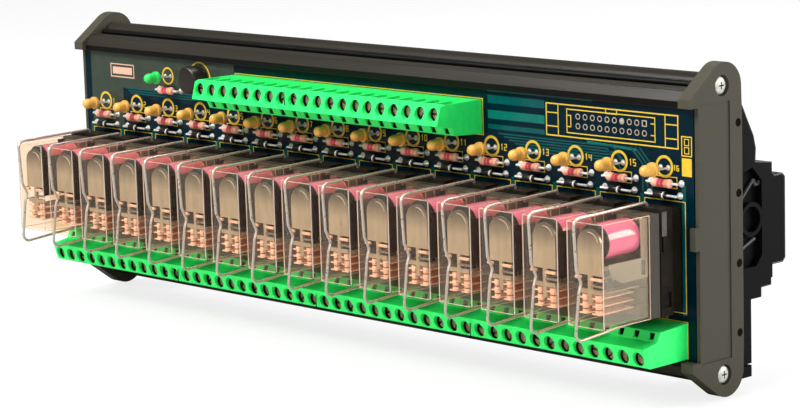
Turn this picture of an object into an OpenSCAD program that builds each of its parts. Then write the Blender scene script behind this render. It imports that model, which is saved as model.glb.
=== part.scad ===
// Sixteen-channel relay module: plug-in relays on a terminal board, in a carrier for a mounting rail.
// Millimetres. X runs along the module, -Y is the front, Z is up.
// The origin is the middle of the mounting rail, on the plane where the rail's lips seat.

/* [Overall] */
// Room between the outer relays' places and each end of the module
end_room = 3.48; // [3.3:0.02:6]
// Distance from the carrier's back to the rail seat
foot_depth = 13.2; // [12.4:0.1:16]

/* [Carrier] */
// Depth from the board's front face to the carrier's back
carrier_d = 17.4; // [17:0.1:19]
// Thickness of the carrier's back wall
carrier_wall = 2; // [1.6:0.1:2.4]
// How far the carrier's front lips stand in front of the board
lip_out = 1.5; // [1.2:0.1:2]
// How far each front lip covers the board's edge
lip_cover = 2.65; // [2.2:0.05:3]
// Outer radius of the tubular screw channels
channel_r = 3; // [2.8:0.1:3.2]
// Bore of the screw channels
channel_bore = 3.1; // [3:0.1:3.6]

/* [Circuit board] */
// Height of the strip with the lamps and small parts
lamp_band = 12.2; // [12:0.1:14]
// Space between the lower terminals and the relay sockets
lower_gap = 3; // [2.6:0.1:5]
// Free strip of board between the upper terminals and the lip
upper_strip = 3.05; // [2:0.05:5]
// Thickness of the circuit board
board_t = 1.6; // [1.2:0.1:2]

/* [End caps] */
// Thickness of the cap's outer plate
cap_plate = 1.2; // [1:0.1:1.6]
// Thickness of the cap at its ears
ear_t = 4; // [3.4:0.1:5]
// Radius of the rounded ears
ear_r = 6.6; // [6.2:0.1:7]
// Height of the ears' front edge
ear_edge_h = 2.3; // [1.8:0.1:3.2]
// Diameter of the end screws' heads
cap_screw_head = 4.9; // [4.6:0.1:5.4]
// Diameter of the end screws' shanks
cap_screw_d = 2.9; // [2.5:0.1:2.9]

/* [Terminals] */
// Depth of the terminal blocks in front of the board
term_d = 17.1; // [16.8:0.1:18.5]
// Height of the terminal blocks
term_h = 9.3; // [9.2:0.1:9.8]
// Diameter of the screw openings
screw_hole = 3.7; // [3.5:0.1:3.9]

/* [Relays] */
// Width of a relay
relay_w = 12.6; // [12:0.1:14]
// Space between neighbouring relays
relay_gap = 2.64; // [2.2:0.02:4]
// Height of a relay cover
relay_h = 26.6; // [26:0.1:28]
// Distance from the board to the covers' front faces
relay_front = 30.8; // [30.6:0.1:31.6]
// Wall of the clear covers
cover_wall = 0.6; // [0.5:0.05:0.7]

/* [Retaining bails] */
// Diameter of the bails' wire
wire_d = 0.8; // [0.7:0.05:1]
// Distance from the board to the bails' pivots
pivot_out = 7.05; // [6.8:0.05:7.3]
// Distance from the covers' front faces to the bails' front
bail_room = 4.1; // [3.8:0.1:5]

/* [Lamps and parts] */
// Diameter of the lamps' domes
led_d = 3; // [2.8:0.1:3.2]
// Distance from the board to the lamps' tips
led_tip = 9; // [8.6:0.1:9.4]
// Diameter of the round rectifier
rectifier_d = 8.2; // [7.6:0.1:9]

/* [Rail feet] */
// Height of the mounting rail over its lips
rail_h = 35; // [34.8:0.1:35.2]
// Clear height inside the mounting rail's channel
rail_inside = 25; // [24.8:0.1:25.4]
// Thickness of the mounting rail's lips
rail_lip_t = 1; // [0.9:0.1:1.1]
// Width of a rail foot
foot_w = 22; // [20:0.5:24]

/* [Hidden] */
$fn = 40;

// Counts that the node names follow
CHANNELS = 16;
POLES_PER_RELAY = 3;
BLOCK_POLES = 12;
LOWER_BLOCKS = 4;
UPPER_POLES = [8, 12];

// One overrun for every cut
over = 1;
// Clearance of pieces that slide into each other
fit = 0.15;
// Clearance of pieces that only stand beside each other
seat_gap = 0.1;

// Layout of the board from its lower edge to its upper edge
relay_pitch = relay_w + relay_gap;
pole_pitch = relay_pitch / POLES_PER_RELAY;
module_l = CHANNELS * relay_pitch + 2 * end_room;
board_front = carrier_d + foot_depth;
term_clear = 0.25;
socket_rim = 0.5;
relay_drop = 0.4;
lower_margin = lip_cover + term_clear;
upper_margin = lip_cover + upper_strip;
socket_h = relay_h + 2 * socket_rim;
board_h = lower_margin + term_h + lower_gap + socket_h + lamp_band + term_h + upper_margin;
lower_term_z = board_h / 2 - lower_margin - term_h;
upper_term_z = board_h / 2 - upper_margin - term_h;
socket_z = lower_gap + socket_h / 2 - lower_term_z;
socket_top_v = socket_z + socket_h / 2;
socket_low_v = socket_z - socket_h / 2;
relay_z = relay_drop - socket_z;
cover_top_v = relay_h / 2 - relay_z;
cover_low_v = -relay_h / 2 - relay_z;

// Carrier section, in the board's frame: u is the depth behind the board's front face, v is the height
board_groove_v = board_h / 2 + fit;
groove_floor = 0.85;
channel_rise = 1.3;
lip_v = board_h / 2 - lip_cover;
lip_face = 1.8;
gutter_v = board_groove_v + groove_floor;
channel_z = gutter_v + channel_rise;
brow_front_u = -0.3;
brow_rise = 0.6;
crest_u = 3;
brow = [brow_front_u, gutter_v + brow_rise];
brow_groove = 0.35;
crest = [crest_u, channel_z];
edge_deep = 1.8;
wall_in_v = gutter_v - edge_deep;
rear_lip_t = 1.5;
t_slot_in = 10;
t_slot_v = gutter_v - t_slot_in;
t_slot_mouth = 3;
t_slot_w = 5.4;
t_slot_neck = 1.2;
t_slot_deep = 3;
t_boss_w = 9;
t_boss_d = 4.5;
cap_in = module_l / 2 - ear_t;
ear_back = 0.2;
ear_c = [carrier_d - ear_back - ear_r, channel_z - 0.1 * ear_r];
screw_lead = 0.95;
channel_y = ear_c[0] - screw_lead;
profile_half = cap_in - seat_gap;
board_half = module_l / 2 - cap_plate - 2 * seat_gap;

// End cap outline
cap_front = 0.2;
brow_front = 2.9;
brow_low_v = lip_v + 0.15 * lip_face;
ear_edge = [-brow_front, brow_low_v + ear_edge_h];
ear_from_v = lip_v - 0.25 * lip_face;
panel_inset = 0.35;
panel_edge = 4.8;
panel_back = carrier_d - panel_edge;
panel_over_lip = 0.85;
panel_v = lip_v + panel_over_lip;
cap_hole_d = 2.2;
cap_hole_edge = 1.5;
cap_hole_y = carrier_d - cap_hole_edge;
cap_hole_end = 5.1;
cap_hole_pitch = 2 * (lip_v - cap_hole_end) / 3;
tab_h = 5.9;
tab_v = -0.75;
tab_out = 1.4;
tab_w = 1.8;
cap_screw_l = 14;
cap_screw_head_h = 1.35;
head_room = 0.5;
head_recess_d = cap_screw_head + head_room;
head_recess = 1.6;
slot_w_cap = 0.9;
slot_deep_cap = 0.7;

// Terminal blocks: outline as shares of their depth and height
term_outline_shares = [[0, 0], [0.614, 0.065], [0.684, 0.323], [1, 0.419], [0.918, 0.946], [0.854, 1], [0, 1]];
screw_row_share = 0.726;
ledge_share = 0.194;
block_gap = 0.15;
terminal_shift = -0.56;
upper_shift = -0.82;
UPPER_START = 14;
upper_first_x = (UPPER_START - (LOWER_BLOCKS * BLOCK_POLES - 1) / 2) * pole_pitch + upper_shift;
test_hole = 1.7;
test_hole_deep = 3;
cage_w = 3.7;
cage_front = 3.9;
cage_deep = 6.3;
cage_out = term_d - cage_front;
cage_in = cage_out - cage_deep;
cage_h = 4.6;
cage_below = 1.2;
cage_wire = 2.7;
cage_wall = (cage_w - cage_wire) / 2;
term_screw_head = 3.3;
term_screw_head_h = 1.2;
term_screw_y = -cage_out - seat_gap - term_screw_head_h;
term_screw_d = 2.2;
term_screw_slot = 0.55;
term_screw_slot_deep = 0.7;
slot_turn = 47;

// Relay and socket: the pieces inside the cover keep their room from its width
socket_w = relay_w + 2 * seat_gap;
socket_out = 9.4;
socket_step = 4.7;
foot_inset = 1;
socket_foot_w = relay_w - 2 * foot_inset;
socket_foot_h = socket_h - 1.6 * foot_inset;
socket_rib = 0.6;
pivot_fit = 0.2;
pivot_deep = 2.6;
pivot_in = 2.2;
base_out = 12.8;
base_margin = 0.1;
wall_inset = 1.2;
base_wall = relay_w - 2 * wall_inset;
base_wall_out = 16.2;
cover_edge_r = 1.2;
yoke_t = 0.8;
yoke_back = base_out + 2 * seat_gap;
flange_t = 0.8;
flange_inset = 1.5;
flange_w = relay_w - 2 * flange_inset;
coil_r = flange_w / 2 - seat_gap;
coil_rear = yoke_back + yoke_t + 2 * seat_gap;
coil_z = cover_top_v - cover_wall - 2 * seat_gap - flange_w / 2;
coil_front_gap = 3.6;
coil_face = relay_front - coil_front_gap;
core_d = 4;
core_out = 0.25;
core_face = coil_face + core_out;
yoke_inset = 2.1;
yoke_w = relay_w - 2 * yoke_inset;
yoke_below = 1.3;
yoke_z = coil_z - flange_w / 2 - yoke_below;
yoke_face = coil_face;
hinge_gap = 0.7;
armature_hinge_out = coil_face + hinge_gap;
armature_gap = 1;
armature_back = coil_face + armature_gap;
armature_inset = 2.4;
armature_w = relay_w - 2 * armature_inset;
armature_t = 0.7;
armature_drop = 1.8;
armature_under = 1.1;
armature_h = flange_w + yoke_below + armature_drop - armature_under;
armature_low = yoke_z - armature_drop;
armature_pin_d = 0.9;
blade_t = 0.35;
blade_end_gap = 1.7;
blade_tip = relay_front - blade_end_gap;
cover_floor = cover_low_v + cover_wall;
blade_shares = [0.46853, 0.33217, 0.19580];
blade_pitch = (blade_shares[0] - blade_shares[1]) * (yoke_z - cover_floor);
fork_gap = 1.8;
fork_deep = 2.6;
prong_w = 2.5;
blade_w = fork_gap + 2 * prong_w;
rivet_d = 1.8;
rivet_gap = 0.3;
rivet_h = (blade_pitch - blade_t - rivet_gap) / 2;
rivet_back = 1.2;
rivet_out = blade_tip - rivet_back;
rivet_x = (fork_gap + prong_w) / 2;
first_blade_z = blade_z(0);
wall_over = 0.9;
base_wall_low = cover_floor + cover_wall;
base_wall_h = first_blade_z + wall_over - base_wall_low;
card_w = 1.2;
card_low = blade_z(1) + blade_t;
bar_inset = 0.3;
bar_h = 1.1;
bar_clear = 0.275;
bar_low = first_blade_z + blade_t / 2 + rivet_h + bar_clear;

// Bail wire path: u is negative in front of the board, v is the height
wire_lap = 0.12;
wire_draw = 0.04;
bail_bend = 2;
bail_pivot_bend = 0.9;
dent_bend = 1.2;
bail_rise = 0.9;
bail_nose_rise = 1.2;
bail_nose_drop = 3.2;
dent_gap = 0.8;
dent_drop = 1.7;
dent_h = 2.4;
dent_rise = 0.9;
bail_front = relay_front + bail_room;
bail_u = wire_d / 2 - bail_front;
dent_u = -relay_front - wire_d / 2 - dent_gap;
bail_path = [
    [-pivot_out, socket_top_v - pivot_in],
    [-pivot_out, socket_top_v + bail_rise],
    [bail_u, cover_top_v + bail_nose_rise],
    [(2 * bail_u + dent_u) / 3, -relay_z + dent_drop],
    [dent_u, -relay_z - dent_drop],
    [dent_u - dent_rise, -relay_z - dent_drop - dent_h],
    [bail_u, cover_low_v - bail_nose_drop],
    [-pivot_out, socket_low_v - bail_rise],
    [-pivot_out, socket_low_v + pivot_in]
];
bail_bends = [
    0, bail_pivot_bend, bail_bend, dent_bend, dent_bend, dent_bend, bail_bend, bail_pivot_bend, 0
];

// Lamps, resistors, diodes and rectifier, by their height over the sockets or over the upper terminals' edge
diode_rise = 2.05;
led_under = 3.3;
led_rise = lamp_band - led_under;
resistor_share = 0.46;
resistor_rise = diode_rise + resistor_share * (led_rise - diode_rise);
power_resistor_rise = 2.5;
power_led_rise = 6.7;
rectifier_rise = 6.9;
diode_z = socket_top_v + diode_rise;
resistor_z = socket_top_v + resistor_rise;
led_z = socket_top_v + led_rise;
power_resistor_z = upper_term_z + power_resistor_rise;
power_led_z = upper_term_z + power_led_rise;
rectifier_z = upper_term_z + rectifier_rise;
led_flange_d = 3.8;
led_flange_t = 1;
led_seat = 4.2;
led_lead_d = 0.5;
led_lead_pitch = 2.54;
power_led_shift = 0.47;
part_axis = 1.7;
resistor_l = 6.3;
resistor_d = 2.3;
resistor_waist = 1.9;
resistor_shift = 0.5;
power_resistor_shift = 1.4;
diode_l = 4;
diode_d = 1.9;
lead_d = 0.55;
lead_span = 10.16;
rectifier_shift = 0.28;
rectifier_off = 0.6;
rectifier_t = 5;
POWER_PLACE = 2;
RECTIFIER_PLACE = 3;

// Rail foot: section in the board's frame, seat at the rail's lips
foot_inset_x = 1;
foot_out_x = module_l / 2 - foot_inset_x;
arm_reach = 6.6;
foot_arm_tip = carrier_d + arm_reach;
foot_over = 0.5;
foot_low_v = -gutter_v - foot_over;
arm_end = 4.6;
foot_top_v = gutter_v - arm_end;
tongue_gap = 0.7;
tongue_out = 5.4;
tongue_half = rail_inside / 2 - tongue_gap;
lip_clear = 0.4;
hook_t = 3.4;
hook_grip = 2.6;
hook_tip_t = 2.3;
hook_w = 8;
seat_half = rail_h / 2 + lip_clear - hook_grip - seat_gap;
seat_step = 0.6;
seat_t = 4.9;
nose_in = 0.5;
nose_out = 2.2;
tongue_bevel = 1.1;
tongue_root = 0.8;
hook_bevel = 1;
hook_nose = 0.6;
hook_lead = 1.5;
guide_d = 4.3;
guide_wall = 2.4;
latch_bar_t = 3.2;
latch_gap = 0.35;
latch_over = 1;
latch_top_v = latch_over - rail_inside / 2;
latch_pull = 4;
latch_end_v = -gutter_v - latch_pull;
latch_slot_h = 1.2;
catch_w = hook_w - guide_wall - latch_gap - 2 * fit;
pocket_deep = 2;
pocket_edge = 0.9;
boss_d = 9;
boss_wall = 1.1;
boss_out = 4.9;
boss_v = 1.2;
boss_c = [carrier_d + boss_out, boss_v];

function blade_z(k) = cover_floor + blade_shares[k] * (yoke_z - cover_floor);
function relay_x(i) = (i - (CHANNELS - 1) / 2) * relay_pitch;
function lower_block_x(k) = terminal_shift + (k - (LOWER_BLOCKS - 1) / 2) * BLOCK_POLES * pole_pitch;
function upper_block_x(k) = upper_first_x + (k == 0 ? (UPPER_POLES[0] - 1) / 2
    : UPPER_POLES[0] + (UPPER_POLES[1] - 1) / 2) * pole_pitch;
// Poles as their place, the height of the block's inner edge, and 1 for a block that faces up
POLES = concat(
    [for (k = [0:LOWER_BLOCKS - 1], i = [0:BLOCK_POLES - 1])
        [lower_block_x(k) + (i - (BLOCK_POLES - 1) / 2) * pole_pitch, -lower_term_z, 0]],
    [for (k = [0:1], i = [0:UPPER_POLES[k] - 1])
        [upper_block_x(k) + (i - (UPPER_POLES[k] - 1) / 2) * pole_pitch, upper_term_z, 1]]
);

function unit(a, b) = (b - a) / norm(b - a);
function turn(a, b, c) = let (p = unit(a, b), q = unit(b, c)) atan2(p[0] * q[1] - p[1] * q[0], p * q);
function trim(a, b, c, r) = r * abs(tan(turn(a, b, c) / 2));

// Frame whose origin lies on the board's front face
module board_frame() {
    translate([0, -board_front, 0]) children();
}

// Sweeps a section drawn as (u, v) along X
module along_x(length) {
    rotate([90, 0, 90]) translate([0, 0, -length / 2]) linear_extrude(length) children();
}

// Round bar along X
module bar_x(d, length) {
    rotate([0, 90, 0]) cylinder(d = d, h = length, center = true);
}

// Round bar along Y, from y0 to y1
module bar_y(d, y0, y1) {
    translate([0, y1, 0]) rotate([90, 0, 0]) cylinder(d = d, h = y1 - y0);
}

// Block given by two corners
module block(a, b) {
    translate(a) cube(b - a);
}

module both_halves() {
    children();
    mirror([0, 0, 1]) children();
}

module per_relay() {
    for (i = [0:CHANNELS - 1]) translate([relay_x(i), 0, 0]) children();
}

// Flat wire path of straight runs and round bends; each run reaches a little into its bends
module wire(path, bends, d) {
    last = len(path) - 1;
    for (i = [0:last - 1]) {
        a = path[i];
        b = path[i + 1];
        from = i == 0 ? 0 : trim(path[i - 1], a, b, bends[i]) - wire_lap;
        to = i == last - 1 ? 0 : trim(a, b, path[i + 2], bends[i + 1]) - wire_lap;
        start = a + unit(a, b) * from;
        translate([start[0], start[1], 0])
            rotate([0, 0, atan2(b[1] - a[1], b[0] - a[0])])
                rotate([0, 90, 0]) cylinder(d = d - wire_draw, h = norm(b - a) - from - to);
    }
    for (i = [1:last - 1]) {
        angle = turn(path[i - 1], path[i], path[i + 1]);
        side = sign(angle);
        way = unit(path[i - 1], path[i]);
        start = path[i] - way * trim(path[i - 1], path[i], path[i + 1], bends[i]);
        centre = start + side * bends[i] * [-way[1], way[0]];
        first = atan2(start[1] - centre[1], start[0] - centre[0]);
        translate([centre[0], centre[1], 0])
            rotate([0, 0, side > 0 ? first : first + angle])
                rotate_extrude(angle = abs(angle)) translate([bends[i], 0]) circle(d = d);
    }
}

// Front edge of the carrier above the middle line: lip, brow with its groove, and the top plate
module carrier_edge_section() {
    rear = board_t + fit;
    polygon([
        [-lip_out, lip_v], [-lip_out, lip_v + lip_face], brow,
        brow + [brow_groove, brow_groove / 2], brow + [2 * brow_groove, -brow_groove],
        brow + [3 * brow_groove, brow_groove / 2], crest,
        [crest[0], gutter_v], [carrier_d, gutter_v], [carrier_d, wall_in_v], [rear + rear_lip_t, wall_in_v],
        [rear + rear_lip_t, lip_v], [rear, lip_v], [rear, board_groove_v], [-fit, board_groove_v], [-fit, lip_v]
    ]);
}

module carrier_profile() {
    length = 2 * profile_half;
    wall = carrier_d - carrier_wall;
    color([0.16, 0.15, 0.12]) board_frame() difference() {
        union() {
            both_halves() {
                along_x(length) carrier_edge_section();
                translate([0, channel_y, channel_z]) bar_x(2 * channel_r, length);
                block([-profile_half, carrier_d - t_boss_d, t_slot_v - t_boss_w / 2],
                    [profile_half, wall + carrier_wall / 2, t_slot_v + t_boss_w / 2]);
            }
            block([-profile_half, wall, -gutter_v], [profile_half, carrier_d, gutter_v]);
        }
        both_halves() {
            translate([0, channel_y, channel_z]) bar_x(channel_bore, length + over);
            block([-profile_half - over, carrier_d - t_slot_deep, t_slot_v - t_slot_w / 2],
                [profile_half + over, carrier_d - t_slot_neck, t_slot_v + t_slot_w / 2]);
            block([-profile_half - over, carrier_d - t_slot_deep, t_slot_v - t_slot_mouth / 2],
                [profile_half + over, carrier_d + over, t_slot_v + t_slot_mouth / 2]);
        }
    }
}

// End cap outline above the middle line
module cap_half_outline() {
    reach = ear_c - ear_edge;
    facet_angle = atan2(reach[1], reach[0]) + asin(ear_r / norm(reach));
    tangent = ear_c + ear_r * [-sin(facet_angle), cos(facet_angle)];
    polygon([
        [cap_front, -over / 2], [cap_front, brow_low_v], [-brow_front, brow_low_v], ear_edge,
        tangent, ear_c, ear_c + [ear_r, 0], [carrier_d, ear_c[1] - ear_r], [carrier_d, -over / 2]
    ]);
    translate(ear_c) circle(r = ear_r);
}

// Right end cap, with its outer face at x = 0 and its body towards -X
module end_cap() {
    board_frame() difference() {
        union() {
            translate([-cap_plate / 2, 0, 0]) along_x(cap_plate) {
                cap_half_outline();
                mirror([0, 1]) cap_half_outline();
            }
            translate([-ear_t / 2, 0, 0]) both_halves() along_x(ear_t) intersection() {
                cap_half_outline();
                translate([-brow_front - over, ear_from_v])
                    square([carrier_d + brow_front + 2 * over, 3 * ear_r]);
            }
            block([-ear_t, carrier_d - carrier_wall, -ear_from_v - fit],
                [-cap_plate / 2, carrier_d, ear_from_v + fit]);
            block([-tab_w, -tab_out, tab_v - tab_h / 2], [0, -2 * fit, tab_v + tab_h / 2]);
            block([-cap_plate, -tab_out, tab_v - tab_h / 2], [0, cap_front + over, tab_v + tab_h / 2]);
        }
        block([-ear_t - over, -fit, -board_groove_v], [-cap_plate, board_t + fit, board_groove_v]);
        block([-panel_inset, cap_front + 2 * fit, -panel_v], [over, panel_back, panel_v]);
        both_halves() translate([0, channel_y, channel_z]) {
            bar_x(cap_screw_d + 2 * fit, 3 * ear_t);
            translate([-head_recess + over, 0, 0]) bar_x(head_recess_d, 2 * over);
            translate([over - head_recess / 2, 0, 0]) bar_x(head_recess_d, head_recess + 2 * over);
        }
        for (n = [-1.5:1:1.5]) translate([0, cap_hole_y, n * cap_hole_pitch])
            bar_x(cap_hole_d, 2 * cap_plate + over);
    }
}

module end_cap_right() {
    color([0.2, 0.19, 0.15]) translate([module_l / 2, 0, 0]) end_cap();
}

module end_cap_left() {
    color([0.2, 0.19, 0.15]) mirror([1, 0, 0]) translate([module_l / 2, 0, 0]) end_cap();
}

// Screw along X with its head at +X
module cap_screw() {
    seat = -head_recess;
    difference() {
        union() {
            translate([seat + fit + cap_screw_head_h / 2, 0, 0]) bar_x(cap_screw_head, cap_screw_head_h);
            translate([seat + fit - cap_screw_l / 2, 0, 0]) bar_x(cap_screw_d, cap_screw_l + fit);
        }
        translate([seat + fit + cap_screw_head_h, 0, 0])
            cube([2 * slot_deep_cap, slot_w_cap, cap_screw_head + over], center = true);
        translate([seat + fit + cap_screw_head_h, 0, 0])
            cube([2 * slot_deep_cap, cap_screw_head / 2, slot_w_cap], center = true);
    }
}

module end_cap_screws() {
    color("silver") board_frame() for (side = [0, 1]) mirror([side, 0, 0])
        both_halves() translate([module_l / 2, channel_y, channel_z]) cap_screw();
}

module circuit_board() {
    color([0.05, 0.22, 0.2]) board_frame()
        block([-board_half, 0, -board_h / 2], [board_half, board_t, board_h / 2]);
}

// Terminal block with its outer side up, its inner edge at z = 0
module terminal_block(poles) {
    width = poles * pole_pitch - block_gap;
    difference() {
        along_x(width) polygon([for (s = term_outline_shares) [-s[0] * term_d, s[1] * term_h]]);
        for (i = [0:poles - 1]) translate([(i - (poles - 1) / 2) * pole_pitch, 0, 0]) {
            translate([0, 0, screw_row_share * term_h]) bar_y(screw_hole, -term_d - over, -cage_out + over);
            translate([-test_hole / 2, -0.65 * term_d - test_hole, ledge_share * term_h - test_hole / 2])
                cube([test_hole, test_hole_deep, test_hole]);
            block([-cage_w / 2 - fit, -cage_out - fit, term_h - cage_below - cage_h - fit],
                [cage_w / 2 + fit, -cage_in + fit, term_h + over]);
        }
    }
}

module lower_block(k) {
    color([0.1, 0.8, 0.35]) board_frame() translate([lower_block_x(k), 0, -lower_term_z])
        mirror([0, 0, 1]) terminal_block(BLOCK_POLES);
}

module upper_block(k) {
    color([0.1, 0.8, 0.35]) board_frame() translate([upper_block_x(k), 0, upper_term_z])
        terminal_block(UPPER_POLES[k]);
}

module output_terminal_1() { lower_block(0); }
module output_terminal_2() { lower_block(1); }
module output_terminal_3() { lower_block(2); }
module output_terminal_4() { lower_block(3); }
module input_terminal_1() { upper_block(0); }
module input_terminal_2() { upper_block(1); }

// Puts a piece at one pole, with the block's outer side up and its inner edge at z = 0
module at_pole(n) {
    board_frame() translate([POLES[n][0], 0, POLES[n][1]]) mirror([0, 0, 1 - POLES[n][2]]) children();
}

module terminal_screws() {
    slot = [term_screw_slot, 2 * term_screw_slot_deep, term_screw_head + over];
    color("silver") for (n = [0:len(POLES) - 1])
        at_pole(n) translate([0, 0, screw_row_share * term_h]) difference() {
            union() {
                bar_y(term_screw_head, term_screw_y, term_screw_y + term_screw_head_h);
                bar_y(term_screw_d, term_screw_y, -(cage_out + cage_in) / 2 - over);
            }
            translate([0, term_screw_y, 0]) rotate([0, n * slot_turn, 0]) cube(slot, center = true);
        }
}

module terminal_cages() {
    top = term_h - cage_below;
    color([0.75, 0.72, 0.6]) for (n = [0:len(POLES) - 1]) at_pole(n) difference() {
        block([-cage_w / 2, -cage_out, top - cage_h], [cage_w / 2, -cage_in, top]);
        block([-cage_wire / 2, -cage_out + cage_wall, top - cage_h + cage_wall],
            [cage_wire / 2, -cage_in - cage_wall, top + over]);
        translate([0, 0, screw_row_share * term_h])
            bar_y(term_screw_d + 2 * fit, -cage_out - over, -cage_out + over);
    }
}

// Socket of one relay, on the board
module relay_socket() {
    translate([0, 0, socket_z]) difference() {
        union() {
            block([-socket_w / 2, -socket_out, -socket_h / 2], [socket_w / 2, -socket_step, socket_h / 2]);
            block([-socket_foot_w / 2, -socket_step - over, -socket_foot_h / 2],
                [socket_foot_w / 2, -seat_gap, socket_foot_h / 2]);
        }
        both_halves() translate([0, -pivot_out, socket_h / 2 - pivot_deep])
            cylinder(d = wire_d + pivot_fit, h = pivot_deep + over);
        for (side = [-1, 1]) translate([side * socket_w / 2, 0, 0]) {
            block([-socket_rib, -socket_out + socket_rib, -0.42 * socket_h],
                [socket_rib, -socket_step - socket_rib, -0.28 * socket_h]);
            block([-socket_rib, -socket_out - over, 0.1 * socket_h],
                [socket_rib, -socket_out + 2 * socket_rib, 0.34 * socket_h]);
        }
    }
}

module relay_sockets() {
    color([0.08, 0.08, 0.09]) board_frame() per_relay() relay_socket();
}

// Upright box with rounded upright edges; its face stands at y0 and its back at y1
module rounded_box(w, h, r, y0, y1) {
    translate([0, (y0 + y1) / 2, -h / 2]) linear_extrude(h) {
        square([w - 2 * r, y1 - y0], center = true);
        square([w, y1 - y0 - 2 * r], center = true);
        for (sx = [-1, 1], sy = [-1, 1]) translate([sx * (w / 2 - r), sy * ((y1 - y0) / 2 - r)]) circle(r = r);
    }
}

module relay_bases() {
    w = relay_w - 2 * base_margin;
    h = relay_h - 2 * base_margin;
    low = base_wall_low + relay_z;
    color([0.45, 0.45, 0.42]) board_frame() per_relay() translate([0, 0, -relay_z]) difference() {
        union() {
            block([-w / 2, -base_out, -h / 2], [w / 2, -socket_out - seat_gap, h / 2]);
            block([-base_wall / 2, -base_wall_out, low], [base_wall / 2, -base_out + over, low + base_wall_h]);
        }
        for (side = [-1, 1]) translate([side * base_wall / 2, 0, low + base_wall_h / 2])
            block([-base_wall / 4, -base_wall_out - over, -base_wall_h / 8],
                [base_wall / 4, -base_out - over / 2, base_wall_h / 8]);
    }
}

module relay_covers() {
    shell = 2 * cover_wall;
    back = base_out + seat_gap;
    color([0.95, 0.92, 0.9, 0.35]) board_frame() per_relay() translate([0, 0, -relay_z]) difference() {
        rounded_box(relay_w, relay_h, cover_edge_r, -relay_front, cover_edge_r - back);
        rounded_box(relay_w - shell, relay_h - shell, cover_edge_r - cover_wall,
            cover_wall - relay_front, over - back);
        block([-relay_w, -back, -relay_h], [relay_w, over, relay_h]);
    }
}

module relay_coils() {
    color([0.9, 0.3, 0.5]) board_frame() per_relay() translate([0, 0, coil_z]) {
        bar_y(2 * coil_r, -coil_face + flange_t / 2, -coil_rear - flange_t / 2);
        bar_y(core_d, -core_face, -coil_rear - flange_t);
        for (y = [-coil_face, -coil_rear - flange_t])
            block([-flange_w / 2, y, -flange_w / 2], [flange_w / 2, y + flange_t, flange_w / 2]);
    }
}

module relay_yokes() {
    back = yoke_back;
    color([0.7, 0.7, 0.68]) board_frame() per_relay() {
        block([-yoke_w / 2, -yoke_face, yoke_z - yoke_t / 2], [yoke_w / 2, -back, yoke_z + yoke_t / 2]);
        block([-yoke_w / 2, -back - yoke_t, yoke_z], [yoke_w / 2, -back, coil_z + flange_w / 2]);
    }
}

module relay_contacts() {
    color([0.8, 0.45, 0.2]) board_frame() per_relay()
        for (k = [0:2]) translate([0, 0, blade_z(k)]) difference() {
            union() {
                block([-blade_w / 2, -blade_tip, -blade_t / 2],
                    [blade_w / 2, -base_wall_out - seat_gap, blade_t / 2]);
                for (side = [-1, 1]) translate([side * rivet_x, -rivet_out, -blade_t / 2]) {
                    cylinder(d = rivet_d, h = blade_t + rivet_h);
                    if (k < 2) translate([0, 0, -rivet_h]) cylinder(d = rivet_d, h = blade_t + rivet_h);
                }
            }
            block([-fork_gap / 2, -blade_tip - over, -over], [fork_gap / 2, fork_deep - blade_tip, over]);
        }
}

// Armature: plate with a round top, its hinge pin and the card that drives the contacts
module armature(i) {
    top_c = armature_low + armature_h - armature_w / 2;
    color([0.6, 0.6, 0.58]) board_frame() translate([relay_x(i), 0, 0]) {
        translate([0, -armature_back, 0]) rotate([90, 0, 0]) linear_extrude(armature_t) {
            translate([-armature_w / 2, armature_low]) square([armature_w, top_c - armature_low]);
            translate([0, top_c]) circle(d = armature_w);
            translate([-card_w / 2, card_low]) square([card_w, armature_low - card_low + over]);
            translate([bar_inset - armature_w / 2, bar_low])
                square([armature_w - 2 * bar_inset, bar_h]);
        }
        translate([0, -armature_hinge_out, yoke_z]) bar_x(armature_pin_d, armature_w - over);
    }
}

// Bail: one bent wire from the socket's top round the relay to the socket's bottom
module bail(i) {
    color("silver") board_frame() translate([relay_x(i), 0, 0])
        rotate([90, 0, 90]) wire(bail_path, bail_bends, wire_d);
}

// Lamp with its two leads, standing on the board
module led() {
    dome = led_d / 2;
    bar_y(led_flange_d, -led_seat - led_flange_t, -led_seat);
    bar_y(led_d, -led_tip + dome, -led_seat);
    translate([0, -led_tip + dome, 0]) sphere(d = led_d);
    for (side = [-1, 1]) translate([side * led_lead_pitch / 2, 0, 0])
        bar_y(led_lead_d, -led_seat - led_flange_t / 2, -seat_gap);
}

module channel_leds() {
    color([0.95, 0.7, 0.1]) board_frame() per_relay() translate([0, 0, led_z]) led();
}

module power_led() {
    color([0.2, 0.85, 0.4]) board_frame()
        translate([relay_x(POWER_PLACE) + power_led_shift, 0, power_led_z]) led();
}

// Two bent leads of a part that lies along X
module leads() {
    translate([0, -part_axis, 0]) bar_x(lead_d, lead_span);
    for (side = [-1, 1]) translate([side * lead_span / 2, 0, 0]) {
        translate([0, -part_axis, 0]) sphere(d = lead_d);
        bar_y(lead_d, -part_axis, -seat_gap);
    }
}

module resistor() {
    leads();
    translate([0, -part_axis, 0]) {
        bar_x(resistor_waist, resistor_l - resistor_d);
        for (side = [-1, 1]) translate([side * (resistor_l - resistor_d) / 2, 0, 0])
            bar_x(resistor_d, 0.75 * resistor_d);
    }
}

module resistors() {
    color([0.85, 0.6, 0.45]) board_frame() {
        per_relay() translate([resistor_shift, 0, resistor_z]) resistor();
        translate([relay_x(POWER_PLACE) + power_resistor_shift, 0, power_resistor_z]) resistor();
    }
}

module diodes() {
    color([0.15, 0.15, 0.15]) board_frame() per_relay() translate([0, 0, diode_z]) {
        leads();
        translate([0, -part_axis, 0]) bar_x(diode_d, diode_l);
    }
}

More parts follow.
